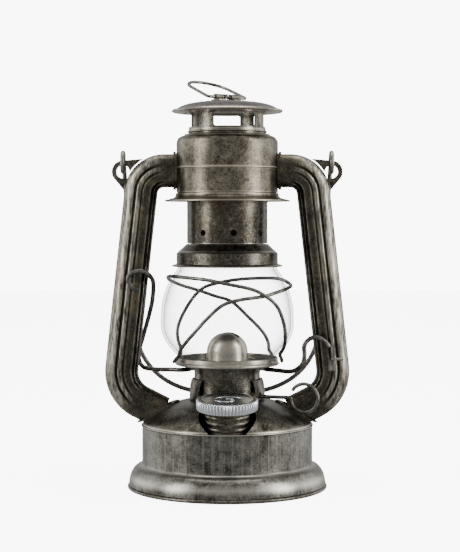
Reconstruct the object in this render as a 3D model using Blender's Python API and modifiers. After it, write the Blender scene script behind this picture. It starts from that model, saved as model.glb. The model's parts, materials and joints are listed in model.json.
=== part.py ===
"""Hurricane oil lamp: a turned tank with a domed top, two side air tubes that carry a hood, a chimney
that slides in the hood, a glass globe in a wire guard, a flat-wick burner, a bail and a lifting ring.
Metres, +Z up, origin at the middle of the base, front towards -Y."""

import bmesh
import bpy
import math
from mathutils import Matrix, Vector

MM = 0.001
GAP = 0.3 * MM                    # left between pieces that touch
SHEET = 0.8 * MM                  # wall of the pressed sheet-metal pieces
STEPS = 20                        # facets round the turned pieces

# tank
TANK_RADIUS = 58.7 * MM
TANK_HEIGHT = 43.8 * MM           # from the ground to the seam under the dome
BASE_RADIUS = 68.8 * MM
BASE_RIM_HEIGHT = 2.6 * MM
BASE_PANEL_LIFT = 3.4 * MM
FLARE_HEIGHT = 13.2 * MM
SEAM_LIP = 0.5 * MM
DOME_RISE = 17.0 * MM
DOME_HOLE_RADIUS = 20.6 * MM

# filler on the front of the dome
FILLER_OFFSET = 42.5 * MM
FILLER_TILT = math.radians(7)
FILLER_LEVEL = 1.4 * MM           # mouth of the pocket above the tank seam
POCKET_RADIUS = 19.2 * MM
POCKET_DEPTH = 2.5 * MM
NECK_RADIUS = 15.35 * MM
NECK_WALL = 1.6 * MM
NECK_HEIGHT = 20.0 * MM
THREAD_DEPTH = 0.8 * MM
THREAD_RIDGES = 3
CAP_RADIUS = 20.6 * MM
CAP_SKIRT = 6.6 * MM
CAP_CROWN = 1.2 * MM
THREAD_CLEARANCE = 0.4 * MM
GASKET_THICKNESS = 1.2 * MM

# burner
COLLAR_RADIUS = 23.7 * MM
COLLAR_WAIST = 1.0 * MM
COLLAR_HEIGHT = 23.2 * MM
SHIELD_RADIUS = COLLAR_RADIUS + 2.0 * MM
SHIELD_HEIGHT = 14.0 * MM
SHIELD_HALF_WIDTH = 17.0 * MM
BURNER_YAW = math.radians(-20)
WICK_WIDTH = 16.0 * MM
WICK_THICKNESS = 2.0 * MM
WICK_TUBE_WALL = 0.7 * MM
WICK_CLEARANCE = 0.4 * MM
WICK_FOOT = 8.0 * MM
CONE_RADIUS = 14.2 * MM
CONE_FLANGE = 1.0 * MM
CONE_WALL_HEIGHT = 7.0 * MM
SHAFT_HEIGHT = 3.3 * MM           # above the top of the dome
SHAFT_DIAMETER = 2.6 * MM
SHAFT_OFFSET = 5.0 * MM           # in front of the middle of the wick
WHEEL_RADIUS = 3.3 * MM
WHEEL_THICKNESS = 2.0 * MM
LOOP_RADIUS = 9.6 * MM
LOOP_REACH = 57.0 * MM

# globe, its plate and its guard
PLATE_RADIUS = 35.0 * MM
PLATE_RIM_HEIGHT = 5.4 * MM
PLATE_HOLES = 10
PLATE_HOLE_RADIUS = 1.7 * MM
PLATE_HOLE_CIRCLE = 26.0 * MM
PLATE_CLEARANCE = 0.5 * MM
GLOBE_BASE_RADIUS = 33.4 * MM
GLOBE_RADIUS = 45.8 * MM
GLOBE_TOP_RADIUS = 34.0 * MM
GLOBE_HEIGHT = 67.6 * MM
GLOBE_BELLY_HEIGHT = 26.5 * MM
GLOBE_NECK = 4.8 * MM            # straight foot of the glass
GLOBE_LIP = 2.4 * MM             # straight lip at its top
GLASS = 1.9 * MM
GUARD_WIRE = 2.6 * MM
GUARD_CLEARANCE = 1.2 * MM
LEVER_WIRE = 3.3 * MM
LEVER_RISE = 68.0 * MM            # from the straight of the lever to the top of its left hook
LEVER_CLEARANCE = 1.4 * MM

# chimney
HOLDER_FLANGE_RADIUS = 38.2 * MM
HOLDER_RADIUS = 34.9 * MM
HOLDER_BAND = 8.0 * MM
HOLDER_CONE = 6.2 * MM
CHIMNEY_RADIUS = 27.7 * MM
CHIMNEY_LENGTH = 34.4 * MM
VENT_HOLES = 8
VENT_HOLE_RADIUS = 2.2 * MM
VENT_HOLE_LEVEL = 7.4 * MM
CROWN_RADIUS = 26.4 * MM
CROWN_BEAD = 0.8 * MM
CROWN_NEST = 6.0 * MM             # how far the crown reaches down into the chimney
WINDOWS = 4
WINDOW_HEIGHT = 9.6 * MM
WINDOW_POST = 13.0 * MM
LID_RADIUS = 38.2 * MM
LID_RISE = 7.6 * MM
LID_HOLES = 7
LID_HOLE_RADIUS = 0.9 * MM
RING_WIRE = 2.3 * MM
RING_HALF_WIDTH = 15.5 * MM
RING_LEG = 20.0 * MM
RING_YAW = math.radians(38)
RING_LEAN = math.radians(21)
SPRING_WIRE = 1.2 * MM
SPRING_TURNS = 6
SPRING_INSET = 2.2 * MM           # middle of the spring outside the chimney's wall

# hood
HOOD_RADIUS = 34.9 * MM
HOOD_LEVEL = 196.8 * MM           # rim of the skirt above the ground
HOOD_SKIRT_RADIUS = 43.2 * MM
HOOD_SKIRT_HEIGHT = 6.0 * MM
HOOD_DRUM = 33.7 * MM
HOOD_SHOULDER = 6.4 * MM
HOOD_BEAD_LEVEL = 23.2 * MM
HOOD_BEAD = 0.8 * MM
BAFFLE_LEVEL = 3.0 * MM

# side air tubes, and the bail that hangs on their ears
TUBE_WIDTH = 23.6 * MM
TUBE_DEPTH = 18.0 * MM
TUBE_WALL = 1.0 * MM
TUBE_LEVEL = 21.2 * MM            # middle of the tube above the rim of the hood
TUBE_SPREAD = 72.7 * MM           # middle of the tube where it is furthest out
TUBE_LEAN = math.radians(6.35)
UPPER_BEND = 16.0 * MM
LOWER_BEND = 23.8 * MM
LOWER_BEND_LEVEL = 36.2 * MM      # middle of the lower bend above the tank seam
TUBE_ENTRY = math.radians(27)
FLANGE_THICKNESS = 1.2 * MM
FLANGE_WIDTH = 1.5 * MM
EAR_THICKNESS = 1.2 * MM
EAR_RADIUS = 8.0 * MM
EAR_HOLE = 4.5 * MM
EAR_REACH = 28.1 * MM             # hole from the middle of the upper bend
BAIL_WIRE = 3.3 * MM
BAIL_EYE = 6.5 * MM
BAIL_LENGTH = 166.0 * MM
BAIL_CROWN = 60.0 * MM
BAIL_TAPER = 6.0 * MM
BAIL_REST = math.radians(9)

# levels that follow from the sizes above
DOME_TOP = TANK_HEIGHT + DOME_RISE
COLLAR_TOP = DOME_TOP + GAP + COLLAR_HEIGHT
PLATE_LEVEL = COLLAR_TOP + GAP
GLOBE_FOOT = PLATE_LEVEL + SHEET + GAP
GLOBE_TOP = GLOBE_FOOT + GLOBE_HEIGHT
HOLDER_LEVEL = GLOBE_TOP - 1.2 * MM
CHIMNEY_FOOT = HOLDER_LEVEL + 1.6 * MM + HOLDER_BAND + HOLDER_CONE
CHIMNEY_TOP = CHIMNEY_FOOT + CHIMNEY_LENGTH
HOOD_TOP = HOOD_LEVEL + HOOD_SKIRT_HEIGHT + HOOD_DRUM + HOOD_SHOULDER
CROWN_BEAD_LEVEL = HOOD_TOP + GAP + 1.4 * MM
CROWN_TOP = CROWN_BEAD_LEVEL + 3.0 * MM + WINDOW_HEIGHT + 2.0 * MM
LID_LEVEL = CROWN_TOP + GAP - 1.6 * MM
LID_TOP = LID_LEVEL + LID_RISE
RING_LEVEL = LID_TOP + 2.7 * MM
TUBE_CENTRE = HOOD_LEVEL + TUBE_LEVEL
SHAFT_LEVEL = DOME_TOP + SHAFT_HEIGHT
CONE_FOOT = PLATE_LEVEL + SHEET + 2 * GAP
LEVER_LEVEL = PLATE_LEVEL - 0.2 * MM - GAP - LEVER_WIRE / 2 - 2.0 * MM


def clear_scene():
    for obj in list(bpy.data.objects):
        bpy.data.objects.remove(obj, do_unlink=True)


def make_collection(name):
    collection = bpy.data.collections.new(name)
    bpy.context.scene.collection.children.link(collection)
    return collection


clear_scene()
PARTS = make_collection("oil_lamp")
CUTTERS = make_collection("cutters")


def finish(name, colour, roughness, metallic, alpha=1.0):
    """A Principled material."""
    made = bpy.data.materials.new(name)
    made.use_nodes = True
    shader = made.node_tree.nodes["Principled BSDF"]
    shader.inputs["Base Color"].default_value = (*colour, 1.0)
    shader.inputs["Roughness"].default_value = roughness
    shader.inputs["Metallic"].default_value = metallic
    shader.inputs["Alpha"].default_value = alpha
    return made


LOOKS = {
    "aged": ((0.20, 0.19, 0.165), 0.45, 0.9),
    "tank": ((0.27, 0.27, 0.255), 0.42, 0.9),
    "hood": ((0.25, 0.235, 0.20), 0.45, 0.9),
    "lid": ((0.42, 0.40, 0.38), 0.35, 0.95),
    "dark": ((0.10, 0.095, 0.09), 0.4, 0.9),
    "wire": ((0.16, 0.155, 0.15), 0.35, 0.95),
    "zinc": ((0.62, 0.64, 0.66), 0.25, 1.0),
    "nickel": ((0.55, 0.52, 0.43), 0.3, 1.0),
    "brass": ((0.62, 0.48, 0.25), 0.35, 1.0),
    "cork": ((0.35, 0.22, 0.12), 0.9, 0.0),
    "cotton": ((0.80, 0.76, 0.66), 0.95, 0.0),
}


def place(obj, look):
    """Links a part and gives it a material of its own."""
    PARTS.objects.link(obj)
    if look == "glass":
        obj.data.materials.append(finish(obj.name, (0.95, 0.97, 0.97), 0.02, 0.0, 0.3))
    else:
        obj.data.materials.append(finish(obj.name, *LOOKS[look]))
    return obj


def hide(obj):
    """Links a cutter, which is no part of the lamp."""
    CUTTERS.objects.link(obj)
    obj.hide_render = True
    obj.display_type = "WIRE"
    return obj


def take(obj, look):
    """A part where a look is named, a cutter where it is None."""
    return place(obj, look) if look else hide(obj)


def boolean(obj, other, operation="DIFFERENCE"):
    step = obj.modifiers.new(operation.lower(), "BOOLEAN")
    step.operation = operation
    step.solver = "EXACT"
    step.object = other
    return obj


def from_bmesh(name, bm, look, matrix=None):
    bmesh.ops.recalc_face_normals(bm, faces=bm.faces)
    mesh = bpy.data.meshes.new(name)
    bm.to_mesh(mesh)
    bm.free()
    mesh.shade_smooth()
    mesh.set_sharp_from_angle(angle=math.radians(35))
    obj = bpy.data.objects.new(name, mesh)
    if matrix is not None:
        obj.matrix_world = matrix
    return take(obj, look)


def turned(name, outline, look, matrix=None, closed=True, steps=STEPS):
    """A solid of revolution about Z. The outline is (radius, height) points that run down the outer
    side and back up the inner side; one that isn't closed starts and ends on the axis."""
    mesh = bpy.data.meshes.new(name)
    count = len(outline)
    edges = [(i, i + 1) for i in range(count - 1)]
    if closed:
        edges.append((count - 1, 0))
    mesh.from_pydata([(r, 0.0, z) for r, z in outline], edges, [])
    obj = bpy.data.objects.new(name, mesh)
    screw = obj.modifiers.new("turn", "SCREW")
    screw.steps = steps
    screw.render_steps = steps
    screw.use_merge_vertices = True
    screw.merge_threshold = 0.00001
    screw.use_smooth_shade = True
    if matrix is not None:
        obj.matrix_world = matrix
    return take(obj, look)


def block(name, low, high, look=None, matrix=None):
    """A box between two corners."""
    bm = bmesh.new()
    bmesh.ops.create_cube(bm, size=1.0)
    size = Vector(high) - Vector(low)
    bmesh.ops.scale(bm, vec=size, verts=bm.verts)
    bmesh.ops.translate(bm, vec=(Vector(high) + Vector(low)) / 2, verts=bm.verts)
    return from_bmesh(name, bm, look, matrix)


def rod(name, radius, start, end, look=None, steps=16, matrix=None):
    """A cylinder from one point to another."""
    start = Vector(start)
    run = Vector(end) - start
    bm = bmesh.new()
    bmesh.ops.create_cone(bm, cap_ends=True, segments=steps, radius1=radius, radius2=radius,
                          depth=run.length)
    turn = Vector((0, 0, 1)).rotation_difference(run).to_matrix().to_4x4()
    bmesh.ops.transform(bm, matrix=Matrix.Translation(start + run / 2) @ turn, verts=bm.verts)
    return from_bmesh(name, bm, look, matrix)


def wire(name, points, diameter, look, cyclic=False, resolution=2):
    """A round wire along points."""
    curve = bpy.data.curves.new(name, "CURVE")
    curve.dimensions = "3D"
    curve.bevel_depth = diameter / 2
    curve.bevel_resolution = resolution
    curve.use_fill_caps = not cyclic
    spline = curve.splines.new("POLY")
    spline.points.add(len(points) - 1)
    for point, at in zip(spline.points, points):
        point.co = (*at, 1.0)
        point.radius = 1.0
    spline.use_cyclic_u = cyclic
    return take(bpy.data.objects.new(name, curve), look)


def as_mesh(obj, look):
    """A curve turned into a closed mesh, so that it can be cut."""
    graph = bpy.context.evaluated_depsgraph_get()
    mesh = bpy.data.meshes.new_from_object(obj.evaluated_get(graph))
    bm = bmesh.new()
    bm.from_mesh(mesh)
    bmesh.ops.remove_doubles(bm, verts=bm.verts, dist=0.000002)
    matrix = obj.matrix_world.copy()
    name = obj.name
    bpy.data.objects.remove(obj, do_unlink=True)
    bpy.data.meshes.remove(mesh)
    return from_bmesh(name, bm, look, matrix)


def smooth(points, count):
    """Points evenly spread in number along a curve that runs through the given ones."""
    points = [Vector(p) for p in points]
    ends = [2 * points[0] - points[1]] + points + [2 * points[-1] - points[-2]]
    spans = len(points) - 1
    made = []
    for i in range(count):
        at = i / (count - 1) * spans
        k = min(int(at), spans - 1)
        t = at - k
        a, b, c, d = ends[k:k + 4]
        made.append(0.5 * (2 * b + (c - a) * t + (2 * a - 5 * b + 4 * c - d) * t ** 2
                           + (3 * b - a - 3 * c + d) * t ** 3))
    return made


def arc(centre, radius, start, end, count):
    """Points (x, z) on an arc, angles in radians from +X towards +Z."""
    made = []
    for i in range(count):
        at = start + (end - start) * i / (count - 1)
        made.append((centre[0] + radius * math.cos(at), centre[1] + radius * math.sin(at)))
    return made


def dome_level(radius):
    """Height of the dome's outer surface at a radius."""
    t = (radius - DOME_HOLE_RADIUS) / (TANK_RADIUS - 0.3 * MM - DOME_HOLE_RADIUS)
    t = min(max(t, 0.0), 1.0)
    return TANK_HEIGHT + GAP + (DOME_RISE - GAP) * (1 - t ** 1.9) ** 0.75


def dome_outline(lift, inner, count=9):
    """Points down the dome from an inner radius to its edge, lifted by a distance."""
    outer = TANK_RADIUS - 0.3 * MM
    made = []
    for i in range(count):
        at = math.sin(math.pi / 2 * i / (count - 1))
        radius = inner + (outer - inner) * at
        made.append((radius, dome_level(radius) + lift))
    return made


def foot_surface(lift):
    """A solid under the surface that the feet of the air tubes stand on: the dome, carried on outwards
    in a straight slope past its shoulder."""
    points = [p for p in dome_outline(lift, 0.0, 10) if p[0] < TANK_RADIUS - 2.2 * MM]
    radius, level = points[-1]
    run = 14 * MM
    return points + [(radius + run, level - 0.62 * run), (radius + run, 5 * MM), (0.0, 5 * MM)]


def make_tank():
    wall = SHEET
    flare = [(TANK_RADIUS, BASE_RIM_HEIGHT + FLARE_HEIGHT + 1.2 * MM),
             (TANK_RADIUS + 0.6 * MM, BASE_RIM_HEIGHT + FLARE_HEIGHT)]
    reach = BASE_RADIUS - 1.0 * MM - TANK_RADIUS
    for i in range(1, 6):
        at = math.pi / 2 * i / 5
        flare.append((TANK_RADIUS + reach * math.sin(at),
                      BASE_RIM_HEIGHT + GAP + FLARE_HEIGHT * math.cos(at)))
    inner = [(r - wall, z) for r, z in reversed(flare)]
    inner[0] = (inner[0][0], flare[-1][1])
    turned("tank_shell", [(TANK_RADIUS - wall, TANK_HEIGHT), (TANK_RADIUS + SEAM_LIP, TANK_HEIGHT),
                          (TANK_RADIUS + SEAM_LIP, TANK_HEIGHT - 1.0 * MM),
                          (TANK_RADIUS, TANK_HEIGHT - 1.5 * MM)] + flare + inner, "tank")
    rim = BASE_RADIUS - 5.5 * MM
    turned("tank_base", [(0, BASE_PANEL_LIFT + wall), (rim - 2 * MM, BASE_PANEL_LIFT + wall),
                         (rim, BASE_RIM_HEIGHT), (BASE_RADIUS - 0.8 * MM, BASE_RIM_HEIGHT),
                         (BASE_RADIUS, BASE_RIM_HEIGHT / 2), (BASE_RADIUS - 0.8 * MM, 0),
                         (rim, 0), (rim - 2 * MM, BASE_PANEL_LIFT), (0, BASE_PANEL_LIFT)],
           "tank", closed=False)


def filler_matrix():
    """Frame of the filler: its axis leans forwards out of the dome."""
    at = Matrix.Translation((0, -FILLER_OFFSET, TANK_HEIGHT + FILLER_LEVEL))
    return at @ Matrix.Rotation(FILLER_TILT, 4, "X")


def make_dome(bores):
    outline = dome_outline(0, DOME_HOLE_RADIUS)
    edge = TANK_RADIUS - 0.3 * MM
    inner = [(min(r, edge - SHEET), z - SHEET) for r, z in reversed(outline)]
    inner[0] = (edge - SHEET, outline[-1][1])
    dome = turned("tank_top", outline + inner, "tank")
    frame = filler_matrix()
    inside = TANK_RADIUS - SHEET - 0.4 * MM
    pocket = rod("pocket_body", POCKET_RADIUS + SHEET, (0, 0, -POCKET_DEPTH - SHEET),
                 (0, 0, 18 * MM), None, 20, frame)
    room = turned("room_under_dome", [(0, DOME_TOP - 0.1 * MM)] + dome_outline(-0.1 * MM, DOME_HOLE_RADIUS)[:-1]
                  + [(inside, TANK_HEIGHT), (inside, 20 * MM), (0, 20 * MM)], None, closed=False)
    boolean(pocket, room, "INTERSECT")
    boolean(dome, pocket, "UNION")
    boolean(dome, rod("pocket_room", POCKET_RADIUS, (0, 0, -POCKET_DEPTH), (0, 0, 40 * MM),
                      None, 20, frame))
    boolean(dome, rod("fuel_hole", NECK_RADIUS - NECK_WALL, (0, 0, -12 * MM), (0, 0, 5 * MM),
                      None, 20, frame))
    for bore in bores:
        boolean(dome, bore)


def make_filler():
    frame = filler_matrix()
    base = GAP - POCKET_DEPTH
    top = base + NECK_HEIGHT
    bore = NECK_RADIUS - NECK_WALL
    outline = [(bore, top), (NECK_RADIUS - THREAD_DEPTH, top)]
    for ridge in range(THREAD_RIDGES):
        level = top - 4.5 * MM - ridge * 4.0 * MM
        outline += [(NECK_RADIUS - THREAD_DEPTH, level + 1.4 * MM), (NECK_RADIUS, level + 0.5 * MM),
                    (NECK_RADIUS, level - 0.5 * MM), (NECK_RADIUS - THREAD_DEPTH, level - 1.4 * MM)]
    outline += [(NECK_RADIUS - THREAD_DEPTH, base), (bore, base)]
    turned("filler_neck", outline, "tank", frame, steps=20)
    seat = top + GAP
    turned("cap_gasket", [(bore + 0.2 * MM, seat + GASKET_THICKNESS), (NECK_RADIUS - 0.2 * MM, seat + GASKET_THICKNESS),
                          (NECK_RADIUS - 0.2 * MM, seat), (bore + 0.2 * MM, seat)], "cork", frame, steps=20)
    under = seat + GASKET_THICKNESS + GAP
    crown = under + CAP_CROWN
    inner = NECK_RADIUS + THREAD_CLEARANCE
    turned("filler_cap", [(0, crown - 0.5 * MM), (CAP_RADIUS - 6 * MM, crown - 0.3 * MM),
                          (CAP_RADIUS - 2 * MM, crown + 0.5 * MM), (CAP_RADIUS - 0.4 * MM, crown),
                          (CAP_RADIUS, crown - 1 * MM), (CAP_RADIUS, crown - CAP_SKIRT),
                          (CAP_RADIUS - 1 * MM, crown - CAP_SKIRT - 0.6 * MM),
                          (inner, crown - CAP_SKIRT), (inner, under), (0, under)],
           "zinc", frame, closed=False, steps=20)


def burner_matrix():
    return Matrix.Rotation(BURNER_YAW, 4, "Z")


def make_burner():
    frame = burner_matrix()
    foot = DOME_TOP + GAP
    waist = COLLAR_RADIUS - COLLAR_WAIST
    outline = [(COLLAR_RADIUS, COLLAR_TOP), (COLLAR_RADIUS, COLLAR_TOP - 2 * MM), (waist, COLLAR_TOP - 5 * MM),
               (waist, foot + 4 * MM), (COLLAR_RADIUS - 0.4 * MM, foot)]
    collar = turned("burner_collar", outline + [(r - SHEET, z) for r, z in reversed(outline)], "dark")
    bush_hole = rod("bush_hole", SHAFT_DIAMETER / 2 + 0.9 * MM, (COLLAR_RADIUS - 5 * MM, -SHAFT_OFFSET, SHAFT_LEVEL),
                    (COLLAR_RADIUS + 5 * MM, -SHAFT_OFFSET, SHAFT_LEVEL), None, 12, frame)
    boolean(collar, bush_hole)
    for side, name in ((-1, "left"), (1, "right")):
        ring = [(COLLAR_RADIUS + 0.7 * MM, foot + SHIELD_HEIGHT), (SHIELD_RADIUS, foot + SHIELD_HEIGHT - 5 * MM),
                (SHIELD_RADIUS + 0.4 * MM, foot + GAP)]
        shield = turned("air_shield_" + name, ring + [(r - SHEET, z) for r, z in reversed(ring)], "tank")
        boolean(shield, block("shield_cut_" + name, (8 * MM, -SHIELD_HALF_WIDTH, foot - 5 * MM),
                              (40 * MM, SHIELD_HALF_WIDTH, foot + 30 * MM),
                              matrix=Matrix.Scale(side, 4, (1, 0, 0)) if side > 0 else
                              Matrix.Rotation(math.pi, 4, "Z")), "INTERSECT")
        boolean(shield, rod("shield_hole_" + name, SHAFT_DIAMETER / 2 + 1.5 * MM,
                            (0, -SHAFT_OFFSET, SHAFT_LEVEL), (40 * MM, -SHAFT_OFFSET, SHAFT_LEVEL), None, 12, frame))
    half = WICK_WIDTH / 2 + WICK_CLEARANCE
    deep = WICK_THICKNESS / 2 + WICK_CLEARANCE
    wall = WICK_TUBE_WALL
    tube_foot = TANK_HEIGHT - 4 * MM
    tube_top = CONE_FOOT + CONE_WALL_HEIGHT + 3 * MM
    tube = block("wick_tube", (-half - wall, -deep - wall, tube_foot), (half + wall, deep + wall, tube_top),
                 "brass", frame)
    boolean(tube, block("wick_way", (-half, -deep, tube_foot - 5 * MM), (half, deep, tube_top + 5 * MM), matrix=frame))
    boolean(tube, block("wheel_way", (-half + 2 * MM, -deep - 5 * MM, SHAFT_LEVEL - 3.4 * MM),
                        (half - 2 * MM, 0, SHAFT_LEVEL + 3.4 * MM), matrix=frame))
    block("wick", (-WICK_WIDTH / 2, -WICK_THICKNESS / 2, WICK_FOOT),
          (WICK_WIDTH / 2, WICK_THICKNESS / 2, tube_top + 1 * MM), "cotton", frame)
    cup = CONE_RADIUS - SHEET - 0.8 * MM
    top = CONE_FOOT - GAP
    turned("burner_body", [(cup, top), (cup, foot + 11 * MM), (COLLAR_RADIUS - 2.4 * MM, foot + 9 * MM),
                                  (COLLAR_RADIUS - 2.4 * MM, foot + 8 * MM), (cup - SHEET, foot + 9.6 * MM),
                                  (cup - SHEET, top)], "brass")
    deck = turned("burner_deck", [(0, foot + 7.4 * MM), (COLLAR_RADIUS - 2.4 * MM, foot + 7.4 * MM),
                                  (COLLAR_RADIUS - 2.4 * MM, foot + 6.6 * MM), (0, foot + 6.6 * MM)],
                  "brass", closed=False)
    boolean(deck, block("deck_slot", (-half - wall - GAP, -SHAFT_OFFSET - 5 * MM, foot),
                        (half + wall + GAP, deep + wall + GAP, foot + 12 * MM), matrix=frame))
    shell = [(CONE_RADIUS + CONE_FLANGE, CONE_FOOT), (CONE_RADIUS - SHEET, CONE_FOOT)]
    bend = CONE_FOOT + CONE_WALL_HEIGHT
    outer = [(p[0], p[1]) for p in arc((0, bend), CONE_RADIUS, math.pi / 2, 0, 7)]
    outer[0] = (0.0, bend + CONE_RADIUS)
    inner = [(p[0], p[1]) for p in arc((0, bend), CONE_RADIUS - SHEET, 0, math.pi / 2, 7)]
    inner[-1] = (0.0, bend + CONE_RADIUS - SHEET)
    cone = turned("burner_cone", outer + [(CONE_RADIUS, CONE_FOOT + SHEET), (shell[0][0], CONE_FOOT + SHEET)]
                  + shell + inner, "nickel", closed=False, steps=20)
    boolean(cone, block("flame_slot", (-half - 0.5 * MM, -3.0 * MM, bend + 2 * MM),
                        (half + 0.5 * MM, 3.0 * MM, bend + 30 * MM), matrix=frame))
    for side, name in ((-1, "wick_wheel_left"), (1, "wick_wheel_right")):
        at = (side * 3.2 * MM, -SHAFT_OFFSET, SHAFT_LEVEL)
        turn = frame @ Matrix.Translation(at) @ Matrix.Rotation(math.pi / 2, 4, "Y")
        bore = SHAFT_DIAMETER / 2 + 0.15 * MM
        turned(name, [(WHEEL_RADIUS, WHEEL_THICKNESS / 2), (WHEEL_RADIUS, -WHEEL_THICKNESS / 2),
                      (bore, -WHEEL_THICKNESS / 2), (bore, WHEEL_THICKNESS / 2)], "brass", turn, steps=12)
    spot = Vector((LOOP_REACH, -SHAFT_OFFSET, SHAFT_LEVEL))
    path = [Vector((-8 * MM, -SHAFT_OFFSET, SHAFT_LEVEL)), Vector((20 * MM, -SHAFT_OFFSET, SHAFT_LEVEL)),
            Vector((LOOP_REACH - LOOP_RADIUS - 3 * MM, -SHAFT_OFFSET, SHAFT_LEVEL))]
    for i in range(17):
        at = math.pi + math.radians(330) * i / 16
        path.append(spot + Vector((math.cos(at), 0, math.sin(at))) * LOOP_RADIUS)
    wire("wick_shaft", [frame @ p for p in path], SHAFT_DIAMETER, "wire")
    mid = COLLAR_RADIUS * math.cos(math.asin(SHAFT_OFFSET / COLLAR_RADIUS))
    bush = frame @ Matrix.Translation((mid - 2.4 * MM, -SHAFT_OFFSET, SHAFT_LEVEL)) @ Matrix.Rotation(math.pi / 2, 4, "Y")
    bore = SHAFT_DIAMETER / 2 + 0.1 * MM
    turned("shaft_bush", [(bore + 0.6 * MM, 4 * MM), (bore + 0.6 * MM, 0), (bore, 0), (bore, 4 * MM)],
           "brass", bush, steps=12)


def globe_radius(level):
    """Outer radius of the glass at a height above the ground."""
    h = level - GLOBE_FOOT
    if h < GLOBE_NECK:
        return GLOBE_BASE_RADIUS
    if h < GLOBE_BELLY_HEIGHT:
        t = 1 - (h - GLOBE_NECK) / (GLOBE_BELLY_HEIGHT - GLOBE_NECK)
        return GLOBE_BASE_RADIUS + (GLOBE_RADIUS - GLOBE_BASE_RADIUS) * (1 - t * t)
    t = min((h - GLOBE_BELLY_HEIGHT) / (GLOBE_HEIGHT - GLOBE_LIP - GLOBE_BELLY_HEIGHT), 1.0)
    return GLOBE_RADIUS - (GLOBE_RADIUS - GLOBE_TOP_RADIUS) * t ** 2.66


def make_globe():
    count = 11
    middle = GLOBE_HEIGHT - GLOBE_NECK - GLOBE_LIP
    levels = [GLOBE_TOP - GLOBE_LIP - middle * i / (count - 1) for i in range(count)]
    levels = [GLOBE_TOP] + levels + [GLOBE_FOOT]
    outer = [(globe_radius(z), z) for z in levels]
    turned("globe", outer + [(r - GLASS, z) for r, z in reversed(outer)], "glass")
    rim = PLATE_RADIUS
    top = PLATE_LEVEL + PLATE_RIM_HEIGHT
    hole = CONE_RADIUS + CONE_FLANGE + PLATE_CLEARANCE
    plate = turned("globe_plate", [(rim, top), (rim + 0.9 * MM, PLATE_LEVEL + 1 * MM), (rim, PLATE_LEVEL),
                                   (hole, PLATE_LEVEL), (hole, PLATE_LEVEL + SHEET),
                                   (rim - SHEET, PLATE_LEVEL + SHEET), (rim - SHEET, top)], "nickel")
    for k in range(PLATE_HOLES):
        at = 2 * math.pi * (k + 0.25) / PLATE_HOLES
        spot = (PLATE_HOLE_CIRCLE * math.cos(at), PLATE_HOLE_CIRCLE * math.sin(at))
        boolean(plate, rod(f"air_hole_{k}", PLATE_HOLE_RADIUS, (*spot, PLATE_LEVEL - 2 * MM),
                           (*spot, PLATE_LEVEL + 2 * MM), None, 8))


# Each guard wire: angle round the globe from the front in degrees (right is positive), height above the
# foot of the globe in millimetres, and 1 where it passes outside the other wire.
GUARD_A = [(78, 1.5, 0), (69, 7, 0), (56, 19, 0), (50, 29, 0.3), (41, 40, 0.9), (30, 47, 1), (19, 51, 0.9),
           (0, 54, 0.3), (-20, 56.5, 0), (-45, 57.7, 0), (-68, 58, 0), (-90, 57, 0), (-120, 53, 0.3),
           (-142, 49, 0.9), (-156, 46, 1), (-170, 42, 0.9), (-184, 38, 0.3), (-202, 25, 0), (-228, 8, 0),
           (-238, 1.5, 0)]
GUARD_B = [(-72, 1.5, 0), (-62, 5, 0), (-42, 13.5, 0), (-28, 22, 0), (-16, 32, 0), (-4, 40.5, 0), (10, 44, 0),
           (32, 46, 0), (50, 48.5, 0), (70, 50.5, 0), (90, 51.7, 0), (104, 53.5, 0), (120, 55, 0), (138, 55.2, 0),
           (168, 54, 0), (191, 51, 0), (206, 46, 0), (222, 29, 0), (235, 9, 0), (242, 1.5, 0)]


def guard_path(points):
    """A guard wire's middle line, held off the glass by a clearance."""
    made = []
    for degrees, height, over in smooth(points, 36):
        level = GLOBE_FOOT + height * MM * GLOBE_HEIGHT / (65 * MM)
        radius = max(globe_radius(level), PLATE_RADIUS + 0.9 * MM) + GUARD_CLEARANCE + GUARD_WIRE / 2
        radius += over * (GUARD_WIRE + GAP)
        at = math.radians(degrees)
        made.append(Vector((radius * math.sin(at), -radius * math.cos(at), level)))
    return made


def make_guard():
    wire("guard_wire_right", guard_path(GUARD_A), GUARD_WIRE, "wire")
    wire("guard_wire_left", guard_path(GUARD_B), GUARD_WIRE, "wire")


def tube_path(side, start, end):
    """Middle line of an air tube, from inside the hood to inside the dome."""
    lean = TUBE_LEAN
    low = Vector((TUBE_SPREAD - LOWER_BEND * math.cos(lean), TANK_HEIGHT + LOWER_BEND_LEVEL))
    entry = TUBE_ENTRY
    knee = Vector((low.x + LOWER_BEND * math.cos(lean), low.y + LOWER_BEND * math.sin(lean)))
    turn = math.pi / 2 - lean
    drop = UPPER_BEND * (1 - math.cos(turn))
    elbow_z = TUBE_CENTRE - drop
    elbow_x = knee.x - (elbow_z - knee.y) * math.tan(lean)
    middle = (elbow_x - UPPER_BEND * math.sin(turn), TUBE_CENTRE - UPPER_BEND)
    points = [(start, TUBE_CENTRE)]
    points += arc(middle, UPPER_BEND, math.pi / 2, lean, 7)
    straight = 4
    top = Vector(points[-1])
    for i in range(1, straight):
        points.append(tuple(top.lerp(knee, i / straight)))
    points += arc(low, LOWER_BEND, lean, -(math.pi / 2 - entry), 8)
    last = Vector(points[-1])
    points.append(tuple(last + Vector((-math.cos(entry), -math.sin(entry))) * end))
    return [Vector((side * x, 0, z)) for x, z in points], (side * middle[0], middle[1])


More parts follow.
